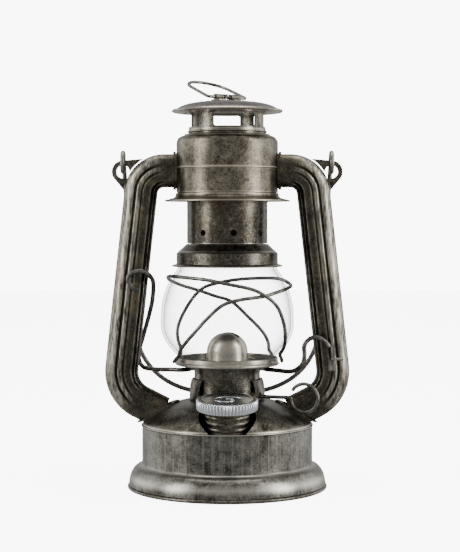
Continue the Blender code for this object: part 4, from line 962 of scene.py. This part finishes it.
def make_hood():
    wall = sizes().sheet
    low, high = foot("hood_skirt"), top("hood_skirt")
    wide = reach("hood_skirt")
    drum = reach("hood_shell")
    outer = [(drum - 0.2 * MM, high), (drum + 0.3 * MM, high - 0.3 * MM),
             (drum + 0.7 * MM, high - 1.2 * MM),
             (drum + 0.6 * MM, high - 2.2 * MM), (drum + 1.6 * MM, high - 3.2 * MM),
             (drum + 4.4 * MM, low + 1.9 * MM),
             (wide - 1.0 * MM, low + 1.25 * MM), (wide - 0.1 * MM, low + 0.95 * MM), (wide, low + 0.5 * MM),
             (wide - 0.6 * MM, low + 0.05 * MM), (wide - 1.4 * MM, low + 0.25 * MM)]
    inner = [(drum + 4.2 * MM, low + 1.1 * MM), (drum + 1.2 * MM, high - 3.8 * MM),
             (drum - wall, high - 3.2 * MM),
             (drum - wall, high - 0.2 * MM)]
    finish_mesh("hood_brim", lathe(outer + inner), "root", ["hood_skirt"], LOOKS["hood"])
    base = foot("hood_shell")
    head = top("hood_shell")
    lip = 26.9 * MM
    shoulder = head - 6.4 * MM
    span = drum - lip - 2.6 * MM
    outer = [(lip, head), (lip + 2.2 * MM, head - 0.05 * MM), (lip + 2.6 * MM, head - 0.3 * MM),
             (lip + 2.9 * MM, head - 1.0 * MM)]
    outer += [(drum - (span - 0.4 * MM) * (1 - sine),
               shoulder + (head - 1.1 * MM - shoulder) * cosine) for sine,
              cosine in arc(math.pi / 2, 10, 1)]
    outer += [(drum, shoulder - 4 * MM)] + bead(drum, HOOD_BEAD_LEVEL, 0.78 * MM) + [(drum, 214 * MM),
                                                                                     (drum, base)]
    bm = lathe(shell(outer, wall))
    tools = []
    for side in (-1, 1):
        stations = tube_stations(side, 10 * MM, 14 * MM)
        tools.append(sweep(stations[:6], lambda k: oval(21.2 * MM, 15.6 * MM, 28),
                           across=Vector((0, 1, 0))))
    finish_mesh("hood_drum", carve(bm, tools), "root", ["hood_shell"], LOOKS["hood"])


def make_crown():
    """The vented crown on the chimney and the lid over it."""
    wall = sizes().sheet
    low, high = foot("vent_crown"), top("vent_crown")
    tube = CROWN_RADIUS
    ring = CROWN_BEAD_LEVEL
    outer = [(tube, high), (tube, ring + 1.3 * MM)] + bead(tube, ring,
                                                           0.85 * MM) + [(tube, ring - 1.3 * MM),
                                                                         (tube, low)]
    bm = lathe(shell(outer, wall), segments=96)
    tools = []
    sill = ring + 3.0 * MM
    half = (tube - 6.5 * MM) * math.sin(math.pi / 4)
    for k in range(2):
        turn = Matrix.Rotation(math.radians(12.5) + k * math.pi / 2, 4, "Z")
        tools.append(box_bmesh((-half, -50 * MM, sill), (half, 50 * MM, sill + 9.6 * MM), turn,
                               bevel=1.2 * MM))
    finish_mesh("crown_wall", carve(bm, tools), "chimney", ["vent_crown"], LOOKS["lid"])
    wide = reach("chimney_lid")
    base = foot("chimney_lid")
    head = top("chimney_lid")
    outer = [(0.0, head), (7 * MM, head - 0.02 * MM), (13 * MM, head - 0.15 * MM),
             (18 * MM, head - 0.5 * MM),
             (23 * MM, head - 1.1 * MM), (28 * MM, head - 2.1 * MM), (32 * MM, head - 3.5 * MM),
             (wide - 4 * MM, base + 2.8 * MM), (wide - 2.6 * MM, base + 2.15 * MM),
             (wide - 1.2 * MM, base + 1.9 * MM),
             (wide - 0.4 * MM, base + 1.55 * MM), (wide, base + 0.95 * MM),
             (wide - 0.2 * MM, base + 0.35 * MM),
             (wide - 0.7 * MM, base), (wide - 1.3 * MM, base + 0.25 * MM)]
    inner = [(wide - 3 * MM, base + 1.3 * MM), (wide - 5 * MM, base + 2.1 * MM), (31 * MM, head - 4.2 * MM),
             (27 * MM, head - 2.9 * MM), (22 * MM, head - 1.85 * MM), (12 * MM, head - 0.95 * MM),
             (0.0, head - 0.8 * MM)]
    bm = lathe(outer + inner, closed=False)
    tools = []
    for k in range(7):
        at = math.radians(3) + 2 * math.pi * (k + 0.5) / 7 - math.pi / 2
        spot = Vector(((wide - 2.4 * MM) * math.cos(at), (wide - 2.4 * MM) * math.sin(at), base))
        tools.append(rod_bmesh(0.9 * MM, spot - Vector((0, 0, 3 * MM)), spot + Vector((0, 0, 8 * MM)), 14))
    finish_mesh("lid_dish", carve(bm, tools), "chimney", ["chimney_lid"], LOOKS["lid"])


# ---------------------------------------------------------------- tubes and ears


def tube_shape():
    """Middles and radii of an air tube's two bends, as (x, z, radius, lean) numbers."""
    lean = math.radians(6.35)
    spread = 72.7 * MM
    upper, lower = 16.0 * MM, 23.8 * MM
    level = 218.0 * MM
    low = (spread - lower * math.cos(lean), 80.0 * MM)
    knee = (spread, low[1] + lower * math.sin(lean))
    turn = math.pi / 2 - lean
    elbow_z = level - upper * (1 - math.cos(turn))
    elbow_x = knee[0] - (elbow_z - knee[1]) * math.tan(lean)
    high = (elbow_x - upper * math.sin(turn), level - upper)
    return lean, high, upper, low, lower, level


def tube_stations(side, end, inset=1.7 * MM):
    """Middle line of an air tube, from inside the hood to inside the dome."""
    lean, high, upper, low, lower, level = tube_shape()
    entry = math.radians(27)
    begin = reach("hood_shell") - 0.8 * MM - inset
    made = [(begin + (high[0] - begin) * i / 5, level) for i in range(5)]
    for i in range(15):
        at = math.pi / 2 + (lean - math.pi / 2) * i / 14
        made.append((high[0] + upper * math.cos(at), high[1] + upper * math.sin(at)))
    start = made[-1]
    knee = (low[0] + lower * math.cos(lean), low[1] + lower * math.sin(lean))
    for i in range(1, 24):
        made.append((start[0] + (knee[0] - start[0]) * i / 24, start[1] + (knee[1] - start[1]) * i / 24))
    last = -(math.pi / 2 - entry)
    for i in range(19):
        at = lean + (last - lean) * i / 18
        made.append((low[0] + lower * math.cos(at), low[1] + lower * math.sin(at)))
    tail = made[-1]
    for i in range(1, 4):
        made.append((tail[0] - math.cos(entry) * end * i / 3, tail[1] - math.sin(entry) * end * i / 3))
    return [Vector((side * x, 0, z)) for x, z in made]


def oval(width, depth, count):
    """A flat oval with full corners, as (u, v) points with u across the width."""
    made = []
    for i in range(count):
        at = 2 * math.pi * (i + 0.5) / count
        made.append((width / 2 * math.copysign(abs(math.cos(at)) ** 0.8, math.cos(at)),
                     depth / 2 * math.copysign(abs(math.sin(at)) ** 0.8, math.sin(at))))
    return made


# Grooves pressed along the front and back of an air tube: place across it from -1 at its outer side to 1 at
# its inner side, half width and depth.
GROOVES = [(-0.30, 0.085, 1.0), (0.10, 0.085, 0.9), (0.40, 0.20, 0.55), (0.70, 0.07, 1.0),
           (0.88, 0.05, 0.6)]


def pressed_wave(place):
    """1 on the raised metal and 0 at the bottom of a groove."""
    return 1 - max(deep * math.exp(-((place - at) / wide) ** 4) for at, wide, deep in GROOVES)


def make_tubes():
    width, depth, ridge = sizes().tube_width, sizes().tube_depth, sizes().ridge
    count = 150
    base = oval(width, depth, count)
    for side, name in ((-1, "left"), (1, "right")):
        stations = tube_stations(side, 17 * MM)
        total = len(stations)

        def strength(k):
            """The ridges fade out before the tube's two ends."""
            return min(1.0, max(0.0, (k - 5) / 5)) * min(1.0, max(0.0, (total - 6 - k) / 5))

        def section(k):
            made = []
            for u, v in base:
                if abs(v) > depth * 0.28:
                    cut = ridge * (1 - pressed_wave(u * side / (width / 2))) * strength(k)
                    v = math.copysign(abs(v) - cut, v)
                made.append((u, v))
            return made

        bm = sweep(stations, section, across=Vector((0, 1, 0)))
        # The across layer is 1 on raised metal and 0 in a groove; the tube finish paints shade in the
        # grooves and highlight on the ridges from it.
        layer = bm.verts.layers.float.new("across")
        bm.verts.ensure_lookup_table()
        for k in range(total):
            for i, (u, v) in enumerate(base):
                high = pressed_wave(u * side / (width / 2)) if abs(v) > depth * 0.28 else 0.62
                bm.verts[k * count + i][layer] = 0.5 + (high - 0.5) * strength(k)
        finish_mesh("tube_" + name, bm, "root", ["air_tube_" + name], LOOKS["tubes"], smooth=60)


def make_ears():
    """A flat lug on the outer bend of each tube, with the hole that the bail hangs in."""
    _, high, upper, _, _, _ = tube_shape()
    root = upper + FRAME_TUBE_WIDTH / 2 + 0.3 * MM
    diagonal = math.radians(28.5)
    hub = (32.1 * MM * math.cos(diagonal), 32.1 * MM * math.sin(diagonal))
    thick = 1.15 * MM
    for side, name in ((-1, "left"), (1, "right")):
        outline = [(root * math.cos(math.radians(a)), root * math.sin(math.radians(a)))
                   for a in [60 - 54 * i / 14 for i in range(15)]]
        outline += [(hub[0] + 7.8 * MM * math.cos(math.radians(a)),
                     hub[1] + 7.8 * MM * math.sin(math.radians(a)))
                    for a in [-48 + 143 * i / 23 for i in range(24)]]
        bm = bmesh.new()
        face = bm.faces.new([bm.verts.new((side * (high[0] + u), -thick / 2, high[1] + v)) for u,
                             v in outline])
        grown = bmesh.ops.extrude_face_region(bm, geom=[face])["geom"]
        bmesh.ops.translate(bm, vec=(0, thick, 0),
                            verts=[v for v in grown if isinstance(v, bmesh.types.BMVert)])
        bmesh.ops.bevel(bm, geom=bm.edges[:], offset=0.25 * MM, segments=2, profile=0.5, affect="EDGES",
                        material=-1)
        spot = Vector((side * (high[0] + hub[0]), 0, high[1] + hub[1]))
        bm = carve(bm, [rod_bmesh(4.5 * MM, spot - Vector((0, 9 * MM, 0)), spot + Vector((0, 9 * MM, 0)),
                                  40)])
        finish_mesh("ear_" + name, bm, "root", ["bail_ear_" + name], LOOKS["fittings"])


# ---------------------------------------------------------------- wires


# Angle round the globe from the front in degrees (right is positive), height above the foot of the globe in
# millimetres, and 1 where the wire passes outside the other one.
GUARD_RIGHT = [(78, 1.5, 0), (69, 7, 0), (56, 19, 0), (50, 29, 0.3), (41, 40, 0.9), (30, 47, 1),
               (19, 51, 0.9),
               (0, 54, 0.3), (-20, 56.5, 0), (-45, 57.7, 0), (-68, 58, 0), (-90, 57, 0), (-120, 53, 0.3),
               (-142, 49, 0.9), (-156, 46, 1), (-170, 42, 0.9), (-184, 38, 0.3), (-202, 25, 0),
               (-228, 8, 0),
               (-238, 1.5, 0)]
GUARD_LEFT = [(-72, 1.5, 0), (-62, 5, 0), (-42, 13.5, 0), (-28, 22, 0), (-16, 32, 0), (-4, 40.5, 0),
              (10, 44, 0),
              (32, 46, 0), (50, 48.5, 0), (70, 50.5, 0), (90, 51.7, 0), (104, 53.5, 0), (120, 55, 0),
              (138, 55.2, 0), (168, 54, 0), (191, 51, 0), (206, 46, 0), (222, 29, 0), (235, 9, 0),
              (242, 1.5, 0)]


def globe_outside(height):
    """The glass's outer radius at a height above its foot."""
    neck, belly = 4.8 * MM, 26.5 * MM
    tall = top("globe") - foot("globe")
    if height < neck:
        return 33.4 * MM
    if height < belly:
        t = 1 - (height - neck) / (belly - neck)
        return 33.4 * MM + (reach("globe") - 33.4 * MM) * (1 - t * t)
    t = min((height - belly) / (tall - 2.4 * MM - belly), 1.0)
    return reach("globe") - (reach("globe") - 34.0 * MM) * t ** 2.66


def make_guard():
    diameter = sizes().guard_wire
    tall = top("globe") - foot("globe")
    for name, given in (("right", GUARD_RIGHT), ("left", GUARD_LEFT)):
        points = []
        for degrees, height, over in round_path(given, 70):
            up = height * MM * tall / (65 * MM)
            out = max(globe_outside(up),
                      GUARD_RADIUS) + 1.2 * MM + diameter / 2 + over * (diameter + 0.3 * MM)
            at = math.radians(degrees)
            points.append(Vector((out * math.sin(at), -out * math.cos(at), foot("globe") + up)))
        bm = wire(points, diameter, 200)
        finish_mesh("guard_" + name, bm, "globe_carriage", ["guard_wire_" + name], LOOKS["guard"])


def make_lever():
    z = LEVER_LEVEL
    clear = FRAME_TUBE_DEPTH / 2 + 1.4 * MM + FRAME_LEVER_WIRE / 2
    collar = SHIELD_RADIUS + 1.2 * MM + FRAME_LEVER_WIRE / 2
    right = (72.7 - 11.8) * MM
    left = -right
    rise = z + 68 * MM
    shift = 68 * MM * math.tan(math.radians(6.35))
    points = [(left + 0.5 * MM, -clear, rise - 12 * MM), (left - 4.0 * MM, -clear, rise - 9.5 * MM),
              (left - 6.5 * MM, -clear, rise - 4 * MM), (left - 3.0 * MM, -clear, rise + 0.5 * MM),
              (left + 4.0 * MM, -clear, rise + 0.8 * MM),
              (left + shift + 1.4 * MM, -clear + 4.0 * MM, rise - 3.5 * MM),
              (left + shift + 2.4 * MM, 1 * MM, rise - 9 * MM),
              (left + shift + 1.4 * MM, 6 * MM, rise - 20 * MM),
              (left + 6.0 * MM, clear - 1.0 * MM, rise - 32 * MM),
              (left + 2.0 * MM, clear + 0.6 * MM, rise - 46 * MM),
              (left - 1.0 * MM, clear + 1.2 * MM, rise - 58 * MM),
              (left + 1.5 * MM, clear + 0.6 * MM, z + 2 * MM),
              (left + 9 * MM, clear - 2 * MM, z), (-40 * MM, 7 * MM, z), (-collar - 4 * MM, 4 * MM, z)]
    points += [(-collar * math.cos(a), collar * math.sin(a), z)
               for a in [math.radians(15 + 15 * i) for i in range(11)]]
    points += [(collar + 4 * MM, 3 * MM, z), (42 * MM, -3 * MM, z - 0.4 * MM),
               (47 * MM, -8 * MM, z + 1.2 * MM),
               (right - 9.4 * MM, -clear, z + 6 * MM), (right - 8.2 * MM, -clear, z + 12 * MM),
               (right - 8.4 * MM, -clear, z + 18 * MM), (right - 5.2 * MM, -clear, z + 22.4 * MM),
               (right - 0.6 * MM, -clear, z + 24 * MM), (right + 3.6 * MM, -clear, z + 22.6 * MM),
               (right + 7.0 * MM, -clear, z + 19.6 * MM), (right + 8.6 * MM, -clear, z + 17 * MM)]
    bm = wire(points, sizes().lever_wire, 320)
    finish_mesh("lever_wire", bm, "globe_carriage", ["lift_lever"], LOOKS["wire"])


def make_knob():
    """The wick shaft and the loop that its end is bent into."""
    turn = burner_frame()
    offset, level = -5.0 * MM, JOINTS["wick_knob_turn"]["pos_m"][2]
    size, out = 9.6 * MM, 57.0 * MM
    spot = Vector((out, offset, level))
    points = [Vector((-8 * MM, offset, level)), Vector((20 * MM, offset, level)),
              Vector((out - size - 3 * MM, offset, level))]
    points += [spot + Vector((math.cos(a), 0, math.sin(a))) * size
               for a in [math.pi + math.radians(330) * i / 32 for i in range(33)]]
    bm = wire([turn @ p for p in points], 2.6 * MM, 170)
    finish_mesh("knob_wire", bm, "wick_shaft", ["wick_shaft"], LOOKS["wire"])


def make_bail():
    _, high, _, _, _, _ = tube_shape()
    diagonal = math.radians(28.5)
    half = high[0] + 32.1 * MM * math.cos(diagonal)
    eye_radius = 6.5 * MM
    level = high[1] + 32.1 * MM * math.sin(diagonal) + eye_radius
    eye = [(half, eye_radius * math.cos(a), eye_radius * math.sin(a))
           for a in [math.radians(-75 - 285 * i / 26) for i in range(27)]]
    straight = 106 * MM
    eye += [(half - 6 * MM * i / 4, eye_radius, -straight * i / 4) for i in range(1, 4)]
    wide = half - 6 * MM
    crown = []
    for i in range(37):
        at = math.pi * i / 36
        x = wide * math.copysign(abs(math.cos(at)) ** 0.8, math.cos(at))
        crown.append((x, eye_radius, -straight - 60 * MM * math.sin(at) ** 0.8))
    points = eye + crown + [(-x, y, z) for x, y, z in reversed(eye)]
    place = Matrix.Translation((0, 0, level)) @ Matrix.Rotation(math.radians(9), 4, "X")
    bm = wire([place @ Vector(p) for p in points], sizes().bail_wire, 330)
    finish_mesh("bail_wire", bm, "bail", ["bail"], LOOKS["bail"])


def make_ring():
    place = Matrix.Translation((0, 0, RING_LEVEL)) @ Matrix.Rotation(math.radians(38), 4, "Z")
    lean = Matrix.Rotation(math.radians(21), 4, "X")
    half, leg = 15.5 * MM, 20.0 * MM
    points = [(half, 0, 0), (half + 1 * MM, 3 * MM, 0)]
    points += [(half * math.cos(a) * 1.02, leg + half * math.sin(a), 0)
               for a in [math.pi * i / 20 for i in range(21)]]
    points += [(-half - 1 * MM, 3 * MM, 0), (-half, 0, 0), (-half + 3 * MM, 0, 0), (0, 0, 0),
               (half - 3 * MM, 0, 0),
               (half, 0, 0)]
    bm = wire([place @ lean @ Vector(p) for p in points], 2.3 * MM, 190, cyclic=True)
    finish_mesh("ring_wire", bm, "lift_ring", ["lift_ring"], LOOKS["ring"])
    points = [place @ Vector((-3.6 * MM + 5.2 * MM * i / 144, 1.9 * MM * math.cos(i * math.pi / 24),
                              1.9 * MM * math.sin(i * math.pi / 24))) for i in range(145)]
    bm = wire(points, 0.8 * MM, 200)
    finish_mesh("ring_coil", bm, "chimney", ["ring_spring"], LOOKS["ring"])


def make_latch():
    """The upright lug on the right air tube, and its pin."""
    low, high = [Vector(corner) for corner in BOX["lever_latch"]]
    pin_low, pin_high = [Vector(corner) for corner in BOX["latch_pin"]]
    thick = 1.2 * MM
    right = high.x
    lug = box_bmesh((right - thick, low.y, low.z), (right, high.y, high.z), bevel=0.35 * MM)
    base = box_bmesh((low.x, high.y - 0.9 * MM, low.z), (right - 0.1 * MM, high.y, low.z + 7 * MM),
                     bevel=0.2 * MM)
    bm = carve(lug, [base], "UNION")
    middle = (pin_low + pin_high) / 2
    bm = carve(bm, [rod_bmesh(1.15 * MM, (low.x - 5 * MM, middle.y, middle.z),
                              (right + 5 * MM, middle.y, middle.z))])
    finish_mesh("latch_lug", bm, "root", ["lever_latch"], LOOKS["bail"])
    bm = rod_bmesh(0.95 * MM, (pin_low.x, middle.y, middle.z), (pin_high.x, middle.y, middle.z))
    bmesh.ops.bevel(bm, geom=[e for e in bm.edges if len(e.link_faces) == 2 and e.calc_face_angle() > 1.0],
                    offset=0.25 * MM, segments=2, profile=0.5, affect="EDGES", material=-1)
    finish_mesh("latch_rivet", bm, "root", ["latch_pin"], LOOKS["bail"])


def dress_frame():
    """Finishes for the CAD nodes that stay as they are."""
    plain = {"air_duct": ("tank", "base"), "burner_body": ("brass", "brass"),
             "burner_deck": ("brass", "brass"),
             "wick_tube": ("brass", "brass"), "shaft_bush": ("brass", "brass"),
             "wick_wheel_left": ("brass", "brass"),
             "wick_wheel_right": ("brass", "brass"), "cap_gasket": ("gasket", "gasket"),
             "hood_baffle": ("chimney", "chimney"), "chimney_spring": ("wire", "wire"),
             "ring_knuckle_left": ("lid", "lid"), "ring_knuckle_right": ("lid", "lid"),
             "lever_strap_left": ("wire", "wire"), "lever_strap_right": ("wire", "wire"),
             "hood_flange_left": ("tubes", "fittings"), "hood_flange_right": ("tubes", "fittings"),
             "tube_foot_left": ("tubes", "fittings"), "tube_foot_right": ("tubes", "fittings")}
    for node, (slot, look) in plain.items():
        piece = frame["nodes"][node]
        for place in piece.material_slots:
            place.link = "OBJECT"
            place.material = LOOKS[look]


# ---------------------------------------------------------------- stage


def glowing(name, tone, strength, roughness=0.85):
    look = Look(name, roughness=roughness, metallic=0.0)
    look.shader.inputs["Base Color"].default_value = rgba(tone)
    look.shader.inputs["Emission Color"].default_value = (1, 1, 1, 1)
    look.shader.inputs["Emission Strength"].default_value = strength
    return look.material


def stage_mesh(name, bm, material, hidden):
    """A mesh of the surroundings, which the rays named in hidden don't see."""
    mesh = bpy.data.meshes.new(name)
    bm.to_mesh(mesh)
    bm.free()
    mesh.materials.append(material)
    made = bpy.data.objects.new(name, mesh)
    bpy.context.scene.collection.objects.link(made)
    for ray in hidden:
        setattr(made, "visible_" + ray, False)


def area_light(name, place, target, size, power):
    data = bpy.data.lights.new(name, "AREA")
    data.shape = "RECTANGLE"
    data.size, data.size_y = size
    data.energy = power
    lamp = bpy.data.objects.new(name, data)
    bpy.context.scene.collection.objects.link(lamp)
    lamp.location = place
    lamp.rotation_euler = (Vector(target) - Vector(place)).to_track_quat("-Z", "Y").to_euler()
    return lamp


def make_stage():
    scene = bpy.context.scene
    world = bpy.data.worlds.new("studio")
    world.use_nodes = True
    back = world.node_tree.nodes["Background"]
    back.inputs["Color"].default_value = (1.0, 1.0, 1.0, 1.0)
    back.inputs["Strength"].default_value = WORLD_LIGHT
    scene.world = world
    bm = bmesh.new()
    bmesh.ops.create_grid(bm, x_segments=1, y_segments=1, size=3.0)
    stage_mesh("floor", bm, glowing("floor_paper", colours().floor, FLOOR_GLOW), ["glossy", "diffuse"])
    bm = bmesh.new()
    bmesh.ops.create_icosphere(bm, subdivisions=4, radius=8.0)
    stage_mesh("backdrop", bm, glowing("backdrop_paper", colours().floor, BACKDROP_GLOW),
               ["diffuse", "glossy", "shadow", "transmission"])
    bm = bmesh.new()
    bm.faces.new([bm.verts.new(corner) for corner in CARD])
    stage_mesh("dark_card", bm, glowing("dark_card", (0, 0, 0), CARD_GLOW, roughness=1.0),
               ["camera", "shadow", "diffuse"])
    for softbox in SOFTBOXES:
        area_light(*softbox)
    data = bpy.data.cameras.new("camera")
    data.lens = LENS
    data.sensor_width = SENSOR
    data.clip_start = 0.01
    camera = bpy.data.objects.new("camera", data)
    scene.collection.objects.link(camera)
    camera.location = CAMERA_PLACE
    camera.rotation_euler = (math.radians(90 - CAMERA_TILT), 0, 0)
    scene.camera = camera


# ---------------------------------------------------------------- operators


class LAMP_OT_tank(bpy.types.Operator):
    """Make the tank: its wall, foot and domed top"""
    bl_idname = "lamp.tank"
    bl_label = "Tank"

    def execute(self, context):
        make_tank()
        make_dome()
        return {"FINISHED"}


class LAMP_OT_filler(bpy.types.Operator):
    """Make the filler neck and its knurled cap"""
    bl_idname = "lamp.filler"
    bl_label = "Filler"

    def execute(self, context):
        make_filler()
        return {"FINISHED"}


class LAMP_OT_burner(bpy.types.Operator):
    """Make the burner's collar, wings, cone, wick and knob"""
    bl_idname = "lamp.burner"
    bl_label = "Burner"

    def execute(self, context):
        make_burner()
        make_knob()
        return {"FINISHED"}


class LAMP_OT_globe(bpy.types.Operator):
    """Make the glass globe and the plate that it stands on"""
    bl_idname = "lamp.globe"
    bl_label = "Globe"

    def execute(self, context):
        make_globe()
        make_plate()
        return {"FINISHED"}


class LAMP_OT_wires(bpy.types.Operator):
    """Make the guard wires, the lift lever and the bail"""
    bl_idname = "lamp.wires"
    bl_label = "Wires"

    def execute(self, context):
        make_guard()
        make_lever()
        make_bail()
        return {"FINISHED"}


class LAMP_OT_chimney(bpy.types.Operator):
    """Make the chimney, its crown and lid, and the lift ring"""
    bl_idname = "lamp.chimney"
    bl_label = "Chimney"

    def execute(self, context):
        make_chimney()
        make_crown()
        make_ring()
        return {"FINISHED"}


class LAMP_OT_hood(bpy.types.Operator):
    """Make the hood and its brim"""
    bl_idname = "lamp.hood"
    bl_label = "Hood"

    def execute(self, context):
        make_hood()
        return {"FINISHED"}


class LAMP_OT_tubes(bpy.types.Operator):
    """Make the two air tubes, the ears on them and the lever's latch"""
    bl_idname = "lamp.tubes"
    bl_label = "Air tubes"

    def execute(self, context):
        make_tubes()
        make_ears()
        make_latch()
        return {"FINISHED"}


class LAMP_OT_finishes(bpy.types.Operator):
    """Make every finish, and give the small CAD pieces theirs"""
    bl_idname = "lamp.finishes"
    bl_label = "Finishes"

    def execute(self, context):
        make_looks()
        dress_frame()
        return {"FINISHED"}


class LAMP_OT_stage(bpy.types.Operator):
    """Make the floor, lights and camera"""
    bl_idname = "lamp.stage"
    bl_label = "Stage"

    def execute(self, context):
        make_stage()
        return {"FINISHED"}


OPERATORS = [LAMP_OT_finishes, LAMP_OT_tank, LAMP_OT_filler, LAMP_OT_burner, LAMP_OT_globe, LAMP_OT_wires,
             LAMP_OT_chimney, LAMP_OT_hood, LAMP_OT_tubes, LAMP_OT_stage]


class LAMP_PT_panel(bpy.types.Panel):
    bl_idname = "LAMP_PT_panel"
    bl_label = "Oil lamp"
    bl_space_type = "VIEW_3D"
    bl_region_type = "UI"
    bl_category = "Oil lamp"

    def draw(self, context):
        for operator in OPERATORS:
            self.layout.operator(operator.bl_idname)


CLASSES = [LampSizes, LampColours] + OPERATORS + [LAMP_PT_panel]


def register():
    for cls in CLASSES:
        bpy.utils.register_class(cls)
    bpy.types.Scene.lamp_sizes = bpy.props.PointerProperty(type=LampSizes)
    bpy.types.Scene.lamp_colours = bpy.props.PointerProperty(type=LampColours)


def unregister():
    del bpy.types.Scene.lamp_colours
    del bpy.types.Scene.lamp_sizes
    for cls in reversed(CLASSES):
        bpy.utils.unregister_class(cls)


def main():
    register()
    bpy.ops.lamp.finishes()
    bpy.ops.lamp.tank()
    bpy.ops.lamp.filler()
    bpy.ops.lamp.burner()
    bpy.ops.lamp.globe()
    bpy.ops.lamp.wires()
    bpy.ops.lamp.chimney()
    bpy.ops.lamp.hood()
    bpy.ops.lamp.tubes()
    bpy.ops.lamp.stage()


if __name__ == "__main__":
    main()
